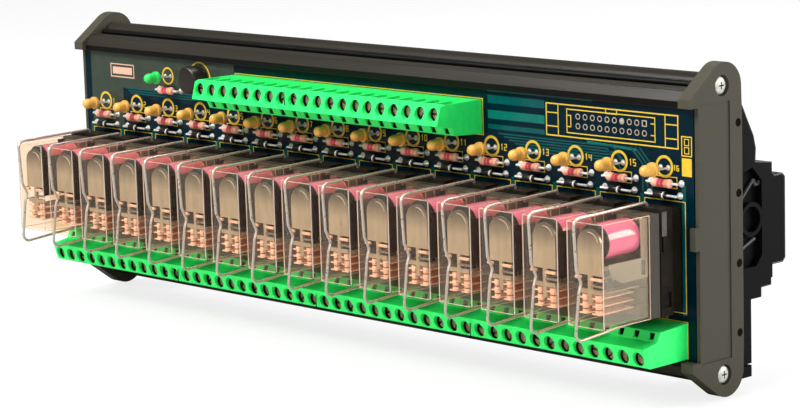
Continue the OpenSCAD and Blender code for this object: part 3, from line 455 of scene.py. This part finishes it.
def board_print():
    """Yellow outlines, rings and channel numbers, and the bare label fields at both ends."""
    silk = Piece("board_print", "silk", "board")
    number_z, number_line = 16.2, 0.26
    pole_number_x, pole_number_z, pole_number_h, pole_number_line = -0.7, -22.2, 1.3, 0.18
    for i in range(CHANNELS):
        x = relay_x(i)
        for (x0, x1, z0, z1), width in ((SOCKET_PRINT, FINE), (RESISTOR_PRINT, THIN)):
            silk.rect(x + x0, x + x1, z0, z1, width)
        silk.ring(x, LAMP_RING_Z, *LAMP_RING)
        # the last number stands closer and is smaller, beside the label fields
        shift, height = (3.4, 1.6) if i < CHANNELS - 1 else (3.0, 1.25)
        silk.number(i + 1, x + shift, number_z, height, number_line)
    silk.rect(*LOWER_PRINT, FINE)
    silk.rect(*UPPER_PRINT, FINE)
    poles_per_relay = LOWER_POLES // CHANNELS
    for i in range(CHANNELS):
        x = lower_pole_x(poles_per_relay * i + 1) + pole_number_x
        silk.number(i + 1, x, pole_number_z, pole_number_h, pole_number_line)
    # empty connector place: two outlines with ears and key notches
    x0, x1, z0, z1 = CONNECTOR_PRINT
    in_x0, in_x1, in_z = x0 + 7.3, x1 - 7.6, 1.1
    mid, ear, ear_z, notch, notch_z = (z0 + z1) / 2, 4.2, 2.4, 1.4, 1.5
    key_x0, key_x1, key_z = 94.6, 98.4, z1 - 1.2
    silk.line([(key_x0, z1), (key_x0, key_z), (key_x1, key_z), (key_x1, z1)], PLAIN, PRINT_LOWEST)
    silk.rect(x0, x1, z0, z1, BOLD)
    silk.rect(in_x0, in_x1, z0 + in_z, z1 - in_z, PLAIN)
    for a, b in ((in_x0, in_x0 + notch), (in_x1 - notch, in_x1)):
        silk.line([(a, mid + notch_z), (b, mid + notch_z), (b, mid - notch_z), (a, mid - notch_z)], PLAIN,
                  PRINT_UNDER)
    for x, inwards in ((x0, ear), (x1, -ear)):
        silk.line([(x + inwards, z0), (x + inwards, z1)], PLAIN, PRINT_UNDER)
        for z in (z0 + ear_z, z1 - ear_z):
            silk.line([(x, z), (x + inwards, z)], PLAIN, PRINT_LOW)
    for label in SMALL_LABELS:
        silk.rect(*label)
    field_x, field_z, field_w = 121.7, (15.0, 19.6), 3.2
    silk.line([(field_x, z) for z in field_z], field_w, PRINT_UNDER)
    silk.ring(*POWER_LED, *POWER_LAMP_RING)
    silk.ring(*RECTIFIER, *RECTIFIER_RING)
    silk.done(smooth=False)
    label = Piece("label_field", "label", "board")
    label.rect(*LABEL_PRINT, BOLD)
    field_x, field_z, field_w = (-110.2, -100.8), 26.85, 2.2
    label.line([(x, field_z) for x in field_x], field_w, PRINT_UNDER)
    label.done(smooth=False)


# Copper that shows through the lacquer, as points (x, z), width and height
FILLS = (([(-113.3, 8.9), (-113.3, 33.4)], 15.6, FILL_D), ([(-105.5, 27.5), (-52.4, 27.5)], 11.8, FILL_D))
BROAD_BANDS = (([(52.2, 25.6), (73.0, 25.6)], 2.3, BAND_D), ([(88.0, 21.0), (105.0, 20.4)], 0.7, BAND_D))
BANDS = (([(52.2, 29.7), (73.0, 29.7)], 2.2, BAND_D), ([(52.2, 22.3), (73.0, 22.3)], 1.3, BAND_D),
         ([(120.6, 12.6), (120.6, -21)], 1.3, TRACK_D), ([(52.2, 32.2), (90.0, 32.2)], 0.9, BAND_D))

# Rows of parallel tracks, as the points (x, z) of the first and of the last one, their count, width and height:
# the two parts of the bus below the connector's place, its way down to the last lamps, the bus below the copper
# fill, and the tracks between the relays
TRACK_ROWS = (
    ([(56.0, 20.6), (97.0, 20.6), (100.4, 17.2)], [(58.0, 19.85), (94.9, 19.85), (98.3, 16.45)], 2, 0.4, TRACK_D),
    ([(60.0, 19.1), (97.8, 19.1), (101.2, 15.7)], [(66.0, 16.85), (93.0, 16.85), (96.4, 13.45)], 4, 0.4, TRACK_D),
    ([(103.0, 21.0), (107.0, 17.0), (107.0, 10.0)], [(106.0, 21.0), (110.0, 17.0), (110.0, 10.0)], 3, 0.45,
     TRACK_OVER),
    ([(-104.0, 21.6), (-52.6, 21.6)], [(-102.0, 20.2), (-52.6, 20.2)], 3, 0.4, BAND_D),
    (*([(relay_x(i) - PITCH / 2, z) for z in (-21.5, 9.4)] for i in (0, CHANNELS - 1)), CHANNELS, 1.1, TRACK_D),
)


def board_tracks():
    """Copper fills, bands and tracks under the lacquer."""
    for name, finish, strips in (("board_fill", "fill", FILLS), ("board_bands", "track_light", BROAD_BANDS)):
        piece = Piece(name, finish, "board")
        for strip in strips:
            piece.line(*strip)
        piece.done(smooth=False)
    tracks = Piece("board_tracks", "track", "board")
    for strip in BANDS:
        tracks.line(*strip)
    for first, last, count, width, height in TRACK_ROWS:
        for k in range(count):
            points = [Vector(a).lerp(Vector(b), k / (count - 1)) for a, b in zip(first, last)]
            tracks.line(points, width, height)
    tracks.done(smooth=False)


def connector_pads():
    """Pads of the empty connector place, one square and one filled with solder, and of the channel lamps."""
    pads = Piece("connector_pads", "pad", "board")
    holes = Piece("connector_holes", "hole", "board")
    half, line = 0.68, 0.26
    pad_out, pad_in, hole_r = 0.8, 0.58, 0.57
    led_pad_out, led_pad_in = 0.75, 0.3
    solder = [(0.5, 0.0), (0.48, 0.12), (0.3, 0.22), (0.05, 0.26)]
    for c in range(PAD_COLUMNS):
        for row, z in enumerate(PAD_ROWS_Z):
            x = PAD_X + PAD_PITCH * c
            if (c, row) == SQUARE_PAD:
                pads.rect(x - half, x + half, z - half, z + half, line)
            else:
                pads.ring(x, z, pad_out, pad_in, d1=0.05, sides=20)
            if (c, row) == FILLED_PAD:
                pads.lathe(solder, at(x, 0, z), FRONT, sides=16)
            else:
                # painted shade of an empty through-hole
                holes.lathe([(hole_r, 0.0), (hole_r, 0.01)], at(x, 0, z), FRONT, sides=16)
    for i in range(CHANNELS):
        for side in SIDES:
            pads.ring(relay_x(i) + side * LED_PIN_X, LED_Z, led_pad_out, led_pad_in, d1=0.06, sides=16)
    pads.done()
    holes.done()


def terminal_shadows():
    """Painted shade in the screw openings and the test openings, as dark rings on the openings' walls and dark boxes
    in the test openings, and the dark joints between the blocks.
    """
    dark = Piece("terminal_opening_shades", "hole", "terminal_plastic")
    shade_out, shade_in, shade_d = 1.845, 1.7, (13.3, 15.2)
    test_half, test_d = 0.84, (9.55, 10.6)
    for x, z, up in POLES:
        # painted shade on the wall of each screw opening and inside each test opening
        dark.ring(x, z + up * SCREW_ROW, shade_out, shade_in, *shade_d, sides=28)
        low, high = sorted((z + up * (TEST_ROW - test_half), z + up * (TEST_ROW + test_half)))
        dark.box(x - test_half, x + test_half, *test_d, low, high)
    joint_half, joint_d, lower_joint_z, upper_joint_z = 0.07, (16.9, 17.12), (-32.0, -27.9), (25.1, 29.2)
    joints = [(lower_pole_x(k - 0.5), lower_joint_z) for k in range(BLOCK_POLES, LOWER_POLES, BLOCK_POLES)]
    joints.append((upper_pole_x(UPPER_POLES - BLOCK_POLES - 0.5), upper_joint_z))
    for x, joint_z in joints:
        dark.box(x - joint_half, x + joint_half, *joint_d, *joint_z)
    dark.done()


# ---------------------------------------------------------------- lamps, resistors, diodes, rectifier

def lamps():
    """Domes of the lamps with their wires and solder."""
    tip_r, tip_d, tip_h = 1.5, 7.5, 1.45
    tip = [(tip_r * math.cos(math.radians(t)), tip_d + tip_h * math.sin(math.radians(t))) for t in range(0, 90, 12)]
    dome = [(1.2, 4.2), (1.86, 4.25), (1.9, 4.4), (1.9, 5.05), (1.84, 5.2), (tip_r, 5.25)] + tip + [(0.08, 8.95)]
    solder = [(0.6, 0.0), (0.5, 0.12), (0.3, 0.42), (0.24, 0.6)]
    wire_half, wire_d, wire_bevel = 0.22, (0.02, 4.3), 0.06
    for finish, node, places in (("lamp_yellow", "channel_leds", [(relay_x(i), LED_Z) for i in range(CHANNELS)]),
                                 ("lamp_green", "power_led", [POWER_LED])):
        body = Piece(node + "_domes", finish, finish)
        leads = Piece(node + "_leads", "lead", "zinc_steel")
        for x, z in places:
            body.lathe(dome, at(x, 0, z), FRONT, sides=28)
            for pin in (x - LED_PIN_X, x + LED_PIN_X):
                leads.box(pin - wire_half, pin + wire_half, *wire_d, z - wire_half, z + wire_half, wire_bevel)
                leads.lathe(solder, at(pin, 0, z), FRONT, sides=14)
        body.done(replaces=(node,))
        leads.done()


def axial_parts():
    """Resistors and diodes with their bands, wires and solder."""
    wires = Piece("axial_leads", "lead", "zinc_steel")
    shells = Piece("resistor_shells", "resistor", "resistor_body")
    reds = Piece("resistor_bands_red", "band_red", "resistor_body")
    golds = Piece("resistor_bands_gold", "band_gold", "resistor_body")
    diodes = Piece("diode_shells", "diode", "diode_body")
    whites = Piece("diode_bands", "band_white", "diode_body")
    shell = mirrored([(0.3, 3.15), (0.8, 3.1), (1.12, 2.75), (1.15, 2.2), (1.1, 1.6), (0.95, 1.2)])
    glass = mirrored([(0.3, 2.0), (0.85, 1.95), (0.95, 1.8)])
    white = [(0.9, 0.95), (0.965, 0.98), (0.965, 1.45), (0.9, 1.48)]
    solder = [(0.95, 0.0), (0.85, 0.2), (0.5, 0.7), (0.33, 1.0)]
    # bands as piece, middle along the axis, radius and half width
    bands = ((reds, -0.65, 0.965, 0.42), (reds, 0.5, 0.965, 0.5), (golds, 2.3, 1.16, 0.24))
    depth, slope = 0.1, 0.03
    wire_in, wire_out, wire_r, wire_foot = 1.2, 5.08, 0.33, 0.02

    def lead_pair(x, z):
        for s in SIDES:
            end = at(x + s * wire_out, PART_AXIS_D, z)
            wires.rod(at(x + s * wire_in, PART_AXIS_D, z), end, wire_r, sides=10)
            wires.rod(end, at(x + s * wire_out, wire_foot, z), wire_r, sides=10)
            wires.lathe(solder, at(x + s * wire_out, 0, z), FRONT, sides=14)

    for x, z in [(relay_x(i) + RESISTOR_X, RESISTOR_Z) for i in range(CHANNELS)] + [POWER_RESISTOR]:
        lead_pair(x, z)
        shells.lathe(shell, at(x, PART_AXIS_D, z), ALONG, sides=20)
        for piece, c, r, half in bands:
            piece.lathe([(r - depth, c - half - slope), (r, c - half), (r, c + half), (r - depth, c + half + slope)],
                        at(x, PART_AXIS_D, z), ALONG, sides=20)
    for i in range(CHANNELS):
        x, z = relay_x(i), DIODE_Z
        lead_pair(x, z)
        diodes.lathe(glass, at(x, PART_AXIS_D, z), ALONG, sides=20)
        whites.lathe(white, at(x, PART_AXIS_D, z), ALONG, sides=20)
    shells.done(replaces=("resistors",))
    diodes.done(replaces=("diodes",))
    for piece in (wires, reds, golds, whites):
        piece.done()


def rectifier():
    """Round rectifier with its four pins and their solder."""
    x, z = RECTIFIER
    r = RECTIFIER_D / 2
    can = Piece("rectifier_can", "rectifier", "rectifier_body")
    can.lathe([(0.3, 0.6), (r - 0.3, 0.62), (r, 0.9), (r, 4.9), (r - 0.15, 5.25), (r - 0.5, 5.5),
               (r - 1.2, 5.58), (0.1, 5.6)], at(x, 0, z), FRONT, sides=40)
    can.done(replaces=("bridge_rectifier",))
    pins = Piece("rectifier_pins", "lead", "zinc_steel")
    solder = [(0.9, 0.0), (0.7, 0.15), (0.3, 0.45)]
    pin_circle, pin_r, pin_d0, pin_d1 = 0.29 * RECTIFIER_D, 0.27, 0.02, 0.8
    for a in (45, 135, 225, 315):
        px = x + pin_circle * math.cos(math.radians(a))
        pz = z + pin_circle * math.sin(math.radians(a))
        pins.rod(at(px, pin_d0, pz), at(px, pin_d1, pz), pin_r, sides=10)
        pins.lathe(solder, at(px, 0, pz), FRONT, sides=14)
    pins.done()


# ---------------------------------------------------------------- relays

# Side panels of a relay's frame, the slot and the rail on them, and the return springs: each an X span from the
# relay's middle to either side, and an outline of (d, z) points or a box (d0, d1, z0, z1)
PANEL_X, PANEL = (5.0, 5.4), [(13.05, 6.1), (15.5, 6.1), (15.5, -3.7), (27.4, -3.7), (26.4, -7.2), (22.4, -8.9),
                              (13.05, -8.9)]
SLOT_X, SLOT = (5.38, 5.46), (14.2, 15.5, -8.0, -4.2)
RAIL_X, RAIL, RAIL_BEVEL = (4.95, 5.15), (16.4, 28.4, -10.9, -10.5), 0.05
STRIP_X, STRIP, STRIP_BEVEL = (4.1, 4.9), (22.4, 28.9, -7.0, -6.8), 0.04
# Painted shade: a dark sheet before each base, and a dark plate in the gap between two relays, where shade falls
BASE_SHADE_X, BASE_SHADE = 5.55, (12.86, 12.98, -18.6, 6.1)
GAP_SHADE_X, GAP_SHADE = (5.5, 5.6), [(21.8, -8.6), (21.8, 3.2), (29.8, 3.2), (29.8, -8.6)]
RIVET_HEAD = [(0.95, 0.12), (0.92, 0.4), (0.7, 0.68), (0.3, 0.76)]
# Painted highlight, a light line on the rounded top of each armature: radius and height of its arc, distance d,
# radius of the line
GLEAM_R, GLEAM_Z, GLEAM_D, GLEAM_LINE = 3.1, 1.1, 28.94, 0.1


def flange(d):
    """Profile of a coil flange whose rear face is at d."""
    r, edge = 4.79, 0.15
    return [(2.0, d), (COIL_R, d + 0.02), (r, d + edge), (r, d + FLANGE_T - edge), (COIL_R, d + FLANGE_T - 0.02),
            (2.0, d + FLANGE_T)]


def relay_insides():
    """What shows through the clear covers: coils, panels, rivets, springs, a painted highlight on each armature, and
    painted shade in the gaps behind, on the left panels and before each base.
    """
    foil = Piece("coil_windings", "coil", "coil_wrap")
    bobbins = Piece("coil_bobbins", "bobbin", "relay_steel")
    cores = Piece("coil_cores", "steel", "relay_steel")
    panels = Piece("relay_panels", "panel", "relay_base_plastic")
    shade = Piece("relay_shades", "shade", "relay_base_plastic")
    springs = Piece("armature_springs", "copper", "contact_bronze")
    slots = Piece("panel_slots", "hole", "relay_base_plastic")
    rivets = Piece("contact_rivets", "rivet", "contact_bronze")
    strips = Piece("return_springs", "steel", "relay_steel")
    back, face = COIL_REAR + FLANGE_T, COIL_FACE - FLANGE_T
    tuck, core_r, core_end = COIL_R - 0.06, 1.98, 27.45
    winding = [(2.1, back + 0.05), (tuck, back + 0.1), (COIL_R, back + 0.5), (COIL_R, face - 0.5),
               (tuck, face - 0.1), (2.1, face - 0.05)]
    core = [(core_r, back), (core_r, core_end - 0.15), (1.85, core_end), (0.05, core_end)]
    arc = [(GLEAM_R * math.cos(math.radians(a)), GLEAM_Z + GLEAM_R * math.sin(math.radians(a)))
           for a in range(15, 100, 10)]
    # wires across the front of a relay, as piece, x0, x1, d, z and radius
    cross_wires = ((strips, 0.9, 4.9, 29.4, -9.1, 0.3), (springs, 0.9, 4.3, 29.2, -7.5, 0.42),
                   (springs, -4.3, -2.5, 29.2, -7.3, 0.42))
    for i in range(CHANNELS):
        x = relay_x(i)
        centre = at(x, 0, COIL_Z)
        foil.lathe(winding, centre, FRONT, sides=40)
        for d in (COIL_REAR, face):
            bobbins.lathe(flange(d), centre, FRONT, sides=40)
        cores.lathe(core, centre, FRONT, sides=24)
        for s in SIDES:
            # painted shade: the left panel is a dark, shaded copy of the right one
            side_panel = panels if s > 0 else shade
            side_panel.plate(PANEL, *to_side(x, s, *PANEL_X))
            # painted shade in the panel's slot
            slots.box(*to_side(x, s, *SLOT_X), *SLOT)
            panels.box(*to_side(x, s, *RAIL_X), *RAIL, RAIL_BEVEL)
            strips.box(*to_side(x, s, *STRIP_X), *STRIP, STRIP_BEVEL)
        for z in BLADE_Z:
            for dx in (-RIVET_X, RIVET_X):
                for side in ((1,) if z == BLADE_Z[-1] else SIDES):
                    rivets.lathe(RIVET_HEAD, at(x + dx, RIVET_D, z), (0, 0, side), sides=18)
        for piece, x0, x1, d, z, r in cross_wires:
            piece.rod(at(x + x0, d, z), at(x + x1, d, z), r, sides=14)
        if i < CHANNELS - 1:
            # painted shade before the base and in the gap to the next relay
            shade.box(x - BASE_SHADE_X, x + BASE_SHADE_X, *BASE_SHADE)
            shade.plate(GAP_SHADE, *to_side(x, 1, *GAP_SHADE_X))
        number = "%02d" % (i + 1)
        # painted highlight along the armature's rounded top
        rim = Piece("armature_gleam_" + number, "lead", "relay_steel", "armature_" + number)
        rim.path([at(x + dx, GLEAM_D, z) for dx, z in arc], GLEAM_LINE, sides=8)
        rim.done()
    foil.done(replaces=("relay_coils",))
    for piece in (bobbins, cores, panels, shade, springs, slots, rivets, strips):
        piece.done()


def cover_edges():
    """Painted highlights along the clear covers' edges, which make a cover visible, and a painted reflection of the
    pale floor, as haze in the last cover's outer wall.
    """
    edges = Piece("cover_edges", "cover_edge", "clear_cover")
    inset, r = 0.16, 0.12
    w = RELAY_W / 2 - inset
    front, back = RELAY_FRONT - inset, BASE_OUT + 0.45
    top, low = RELAY_TOP - inset, RELAY_LOW + inset
    front_x, front_d, front_r = w - 0.25, front - 0.3, 0.16
    end_d, end_x = front - 0.9, w - 0.5
    for i in range(CHANNELS):
        x = relay_x(i)
        for s in SIDES:
            edges.rod(at(x + s * front_x, front_d, low), at(x + s * front_x, front_d, top), front_r, sides=8)
            for z in (low, top):
                edges.rod(at(x + s * w, back, z), at(x + s * w, end_d, z), r, sides=8)
            edges.rod(at(x + s * w, back, low), at(x + s * w, back, top), r, sides=8)
        for z in (low, top):
            edges.rod(at(x - end_x, front, z), at(x + end_x, front, z), r, sides=8)
    edges.done()
    # painted reflection of the pale floor on the last cover's outer wall
    sheen = Piece("cover_floor_reflection", "sheen", "clear_cover")
    x, thick, reflection_top = relay_x(CHANNELS - 1) + 5.6, 0.06, -3.7      # it stays below the coil
    sheen.box(x, x + thick, back + 0.3, front - 1.0, low + 0.5, reflection_top)
    sheen.done()


def socket_sides():
    """Joint line, clip and window on the sides of each socket."""
    dark = Piece("socket_shades", "carrier_dark", "socket_plastic")
    clips = Piece("socket_clips", "clip", "socket_plastic")
    joint = (8.95, 9.38, -19.8, 7.0)
    clip = (6.9, 8.7, 0.8, 7.0)
    window_rear, window_d, window_z, line = (6.45, 6.7), (6.6, 8.9), (-15.9, -12.2), 0.25
    for i in range(CHANNELS):
        for s in SIDES:
            lo, hi = to_side(relay_x(i), s, SOCKET_SIDE - 0.05, SOCKET_SIDE + 0.03)
            dark.box(lo, hi, *joint)
            for z in (window_z[0], window_z[1] - line):
                dark.box(lo, hi, *window_d, z, z + line)
            dark.box(lo, hi, *window_rear, *window_z)
            clips.box(lo, hi, *clip)
    dark.done()
    clips.done()


# ---------------------------------------------------------------- carrier, end caps and rail feet

def carrier_bands():
    """Painted shade in the grooves behind each brow and along the lower side of the top tube, as dark rods, and a
    dark strip on the front of each lip.
    """
    dark = Piece("carrier_bands", "carrier_dark", "carrier_plastic")
    shade_rods = ((-0.42, 36.42, 0.2), (-3.6, 36.72, 0.42), (-5.85, 37.5, 0.95))       # d, z and radius
    lip_d, lip_z0, lip_z1 = (1.49, 1.54), 32.42, 34.0
    for s in SIDES:
        for d, z, r in shade_rods:
            dark.rod(at(-CARRIER_X, d, s * z), at(CARRIER_X, d, s * z), r, sides=12)
        dark.box(-CARRIER_X, CARRIER_X, *lip_d, *sorted((s * lip_z0, s * lip_z1)))
    dark.done()


def cap_heads():
    """Domed heads of the cap screws with their crossed slots in painted shade, and painted shade lining the caps'
    small holes.
    """
    heads = Piece("cap_screw_heads", "screw", "zinc_steel")
    slots = Piece("cap_screw_slots", "hole", "zinc_steel")
    dome = [(2.42, 0), (2.42, 0.3), (2.22, 0.72), (1.72, 1.05), (1.0, 1.22), (0.1, 1.26)]
    screw_d, screw_z = -9.65, 37.3
    arm, half, slot_x = 0.95, 0.16, (125.0, 125.24)
    for side in SIDES:
        for z in (-screw_z, screw_z):
            heads.lathe(dome, at(side * CAP_X, screw_d, z), (side, 0, 0), sides=32)
            lo, hi = to_side(0, side, *slot_x)
            # painted shade in the crossed slots
            for d_half, z_half in ((arm, half), (half, arm)):
                slots.box(lo, hi, screw_d - d_half, screw_d + d_half, z - z_half, z + z_half)
    heads.done(replaces=("end_cap_screws",))
    slots.done()
    # painted shade inside the caps' small holes
    holes = Piece("cap_hole_shades", "hole", "cap_plastic")
    hole_r, hole_depth, hole_x, hole_d = 1.06, 0.9, 124.3, -15.9
    for side in SIDES:
        for z in (-27.25, -9.083, 9.083, 27.25):
            holes.lathe([(hole_r, 0), (hole_r, hole_depth)], at(side * hole_x, hole_d, z), (side, 0, 0), sides=20)
    holes.done()


# Light lines of a foot as depth under its side face, radius and points (distance behind the carrier, z):
# three edges with painted highlights where they catch the light, then the two ends of the wire spring in the side
# pocket
FOOT_LINES = (
    (0.12, 0.22, [(1.2, 31.2), (3.4, 27.0), (5.7, 22.8), (6.55, 19.5), (6.3, 16.0), (13.0, 15.1)]),
    (0.12, 0.26, [(13.1, 12.5), (14.2, 11.4), (17.4, 11.6), (18.3, 10.6), (18.3, -10.6), (17.4, -11.6),
                  (13.1, -11.6)]),
    (0.12, 0.2, [(12.5, -15.3), (12.5, -17.0), (8.4, -17.1), (8.4, -19.6)]),
    (1.2, 0.48, [(1.2, 6.0), (6.9, 11.3), (7.5, 9.8), (9.0, 9.9), (9.05, 10.8)]),
    (1.2, 0.48, [(1.2, -6.6), (3.9, -5.5), (7.2, -4.2)]),
)


def feet_rims():
    """Painted highlights along the edges of the black feet, where they catch the light, and the wire spring in their
    side pocket.
    """
    for side, name in ((1, "right"), (-1, "left")):
        rim = Piece("foot_rim_" + name, "foot_rim", "foot_plastic")
        for under, r, points in FOOT_LINES:
            rim.path([at(side * (FOOT_X - under), FOOT_BACK_D - d, z) for d, z in points], r, sides=8)
        rim.done()


# ---------------------------------------------------------------- stage, light and camera

def stage_floor():
    """Pale floor that looks white to the camera, keeps the shadow, and is dark in what mirrors it."""
    size, gap = 3.0, 0.0005
    pale, dark, white_share = 0.86, 0.22, 0.82
    z = CAD_BOX[0][2] - gap
    mesh = bpy.data.meshes.new("floor")
    mesh.from_pydata([(-size, -size, z), (size, -size, z), (size, size, z), (-size, size, z)], [], [(0, 1, 2, 3)])
    m = bpy.data.materials.new("floor")
    m.use_nodes = True
    nt = m.node_tree
    link = nt.links.new
    b = nt.nodes["Principled BSDF"]
    b.inputs["Base Color"].default_value = (pale, pale, pale, 1)
    b.inputs["Roughness"].default_value = 0.7
    b.inputs["Specular IOR Level"].default_value = 0.1
    dim = new_node(nt, "BsdfDiffuse", {"Color": (dark, dark, dark, 1)})
    glow = new_node(nt, "Emission", {"Strength": 1.0})
    path = new_node(nt, "LightPath")
    mirrored_floor = new_node(nt, "MixShader")
    link(path.outputs["Is Glossy Ray"], mirrored_floor.inputs["Fac"])
    link(b.outputs[0], mirrored_floor.inputs[1])
    link(dim.outputs[0], mirrored_floor.inputs[2])
    share = new_node(nt, "Math")
    share.operation = "MULTIPLY"
    share.inputs[1].default_value = white_share
    link(path.outputs["Is Camera Ray"], share.inputs[0])
    mix = new_node(nt, "MixShader")
    link(share.outputs[0], mix.inputs["Fac"])
    link(mirrored_floor.outputs[0], mix.inputs[1])
    link(glow.outputs[0], mix.inputs[2])
    link(mix.outputs[0], nt.nodes["Material Output"].inputs["Surface"])
    mesh.materials.append(m)
    floor = bpy.data.objects.new("floor", mesh)
    bpy.context.scene.collection.objects.link(floor)


def studio():
    """White world for the camera and for what is seen through clear plastic, and a dimmer one as light."""
    ambient, mirror_loss = 0.32, -0.2
    world = bpy.data.worlds.new("studio")
    bpy.context.scene.world = world
    world.use_nodes = True
    wt = world.node_tree
    link = wt.links.new
    back = wt.nodes["Background"]
    back.inputs["Color"].default_value = (1, 1, 1, 1)
    path = new_node(wt, "LightPath")
    seen = new_node(wt, "Math")
    seen.operation = "MAXIMUM"
    level = new_node(wt, "MapRange", {"To Min": ambient, "To Max": 1.0})
    mirror = new_node(wt, "Math")
    mirror.operation = "MULTIPLY_ADD"
    mirror.inputs[1].default_value = mirror_loss
    link(path.outputs["Is Camera Ray"], seen.inputs[0])
    link(path.outputs["Is Transmission Ray"], seen.inputs[1])
    link(seen.outputs[0], level.inputs["Value"])
    link(path.outputs["Is Glossy Ray"], mirror.inputs[0])
    link(level.outputs[0], mirror.inputs[2])
    link(mirror.outputs[0], back.inputs["Strength"])


# Rectangular lamps: name, place, aim, size (metres) and power (watts)
LIGHTS = (
    ("key", (-0.25, -0.9, 0.9), (0, -0.03, 0), (0.9, 0.45), 22),
    ("fill", (1.1, -0.35, 0.35), (0.05, -0.03, 0), (0.3, 0.5), 3),
    ("top", (0.1, 0.0, 1.1), (0, -0.02, 0), (0.9, 0.3), 6),
    ("streak", (0.85, 0.8, 0.42), (0.1, -0.05, 0), (0.9, 0.5), 10),
    ("upper_streak", (-0.22, 0.72, 0.78), (0.05, -0.05, 0), (0.5, 0.14), 4.5),
)


def area_light(name, place, target, size, power):
    """Rectangular lamp, aimed at its target."""
    data = bpy.data.lights.new(name, "AREA")
    data.shape = "RECTANGLE"
    data.size, data.size_y = size
    data.energy = power
    obj = bpy.data.objects.new(name, data)
    obj.location = place
    obj.rotation_euler = (Vector(target) - Vector(place)).to_track_quat("-Z", "Y").to_euler()
    bpy.context.scene.collection.objects.link(obj)


# The photograph's camera, found from the terminal rows, the carrier and the relays: place in millimetres, axes,
# focal length and width of the picture in pixels, and the sensor's width in millimetres
CAMERA_PLACE = (568.379, -557.590, 126.223)
CAMERA_RIGHT = (0.69416947, 0.71922235, -0.02911978)
CAMERA_DOWN = (0.09991985, -0.13634455, -0.98560955)
CAMERA_AHEAD = (-0.71284274, 0.68127042, -0.16651082)
FOCAL_PIXELS, FRAME_PIXELS, SENSOR_MM = 2766.9582, 800, 36


def camera():
    """Camera of the photograph."""
    data = bpy.data.cameras.new("camera")
    data.lens = FOCAL_PIXELS * SENSOR_MM / FRAME_PIXELS
    data.sensor_width = SENSOR_MM
    data.clip_start, data.clip_end = 0.01, 20
    obj = bpy.data.objects.new("camera", data)
    turn = Matrix((Vector(CAMERA_RIGHT), -Vector(CAMERA_DOWN), -Vector(CAMERA_AHEAD))).transposed().to_4x4()
    obj.matrix_world = Matrix.Translation(Vector(CAMERA_PLACE) * MM) @ turn
    bpy.context.scene.collection.objects.link(obj)
    bpy.context.scene.camera = obj


# ---------------------------------------------------------------- the scene

dress_nodes()
see_through(M["cover"], share=0.035, tint=(0.985, 0.928, 0.85))
# painted highlights on the covers' edges
see_through(M["cover_edge"], share=0.44, tint=(0.84, 0.83, 0.77))
# painted reflection of the pale floor
see_through(M["sheen"], share=0.13, tint=(0.98, 0.98, 0.98))
# painted shade: the armature plates grow darker towards their tops, as the light falls on them
darken_upwards(M["armature"], NODES["armature_01"], low=-1.5, high=4.0, dark=0.3)
board_print()
board_tracks()
connector_pads()
terminal_shadows()
lamps()
axial_parts()
rectifier()
relay_insides()
cover_edges()
socket_sides()
carrier_bands()
cap_heads()
feet_rims()
stage_floor()
studio()
for light in LIGHTS:
    area_light(*light)
camera()
bpy.context.scene.view_settings.view_transform = "Standard"
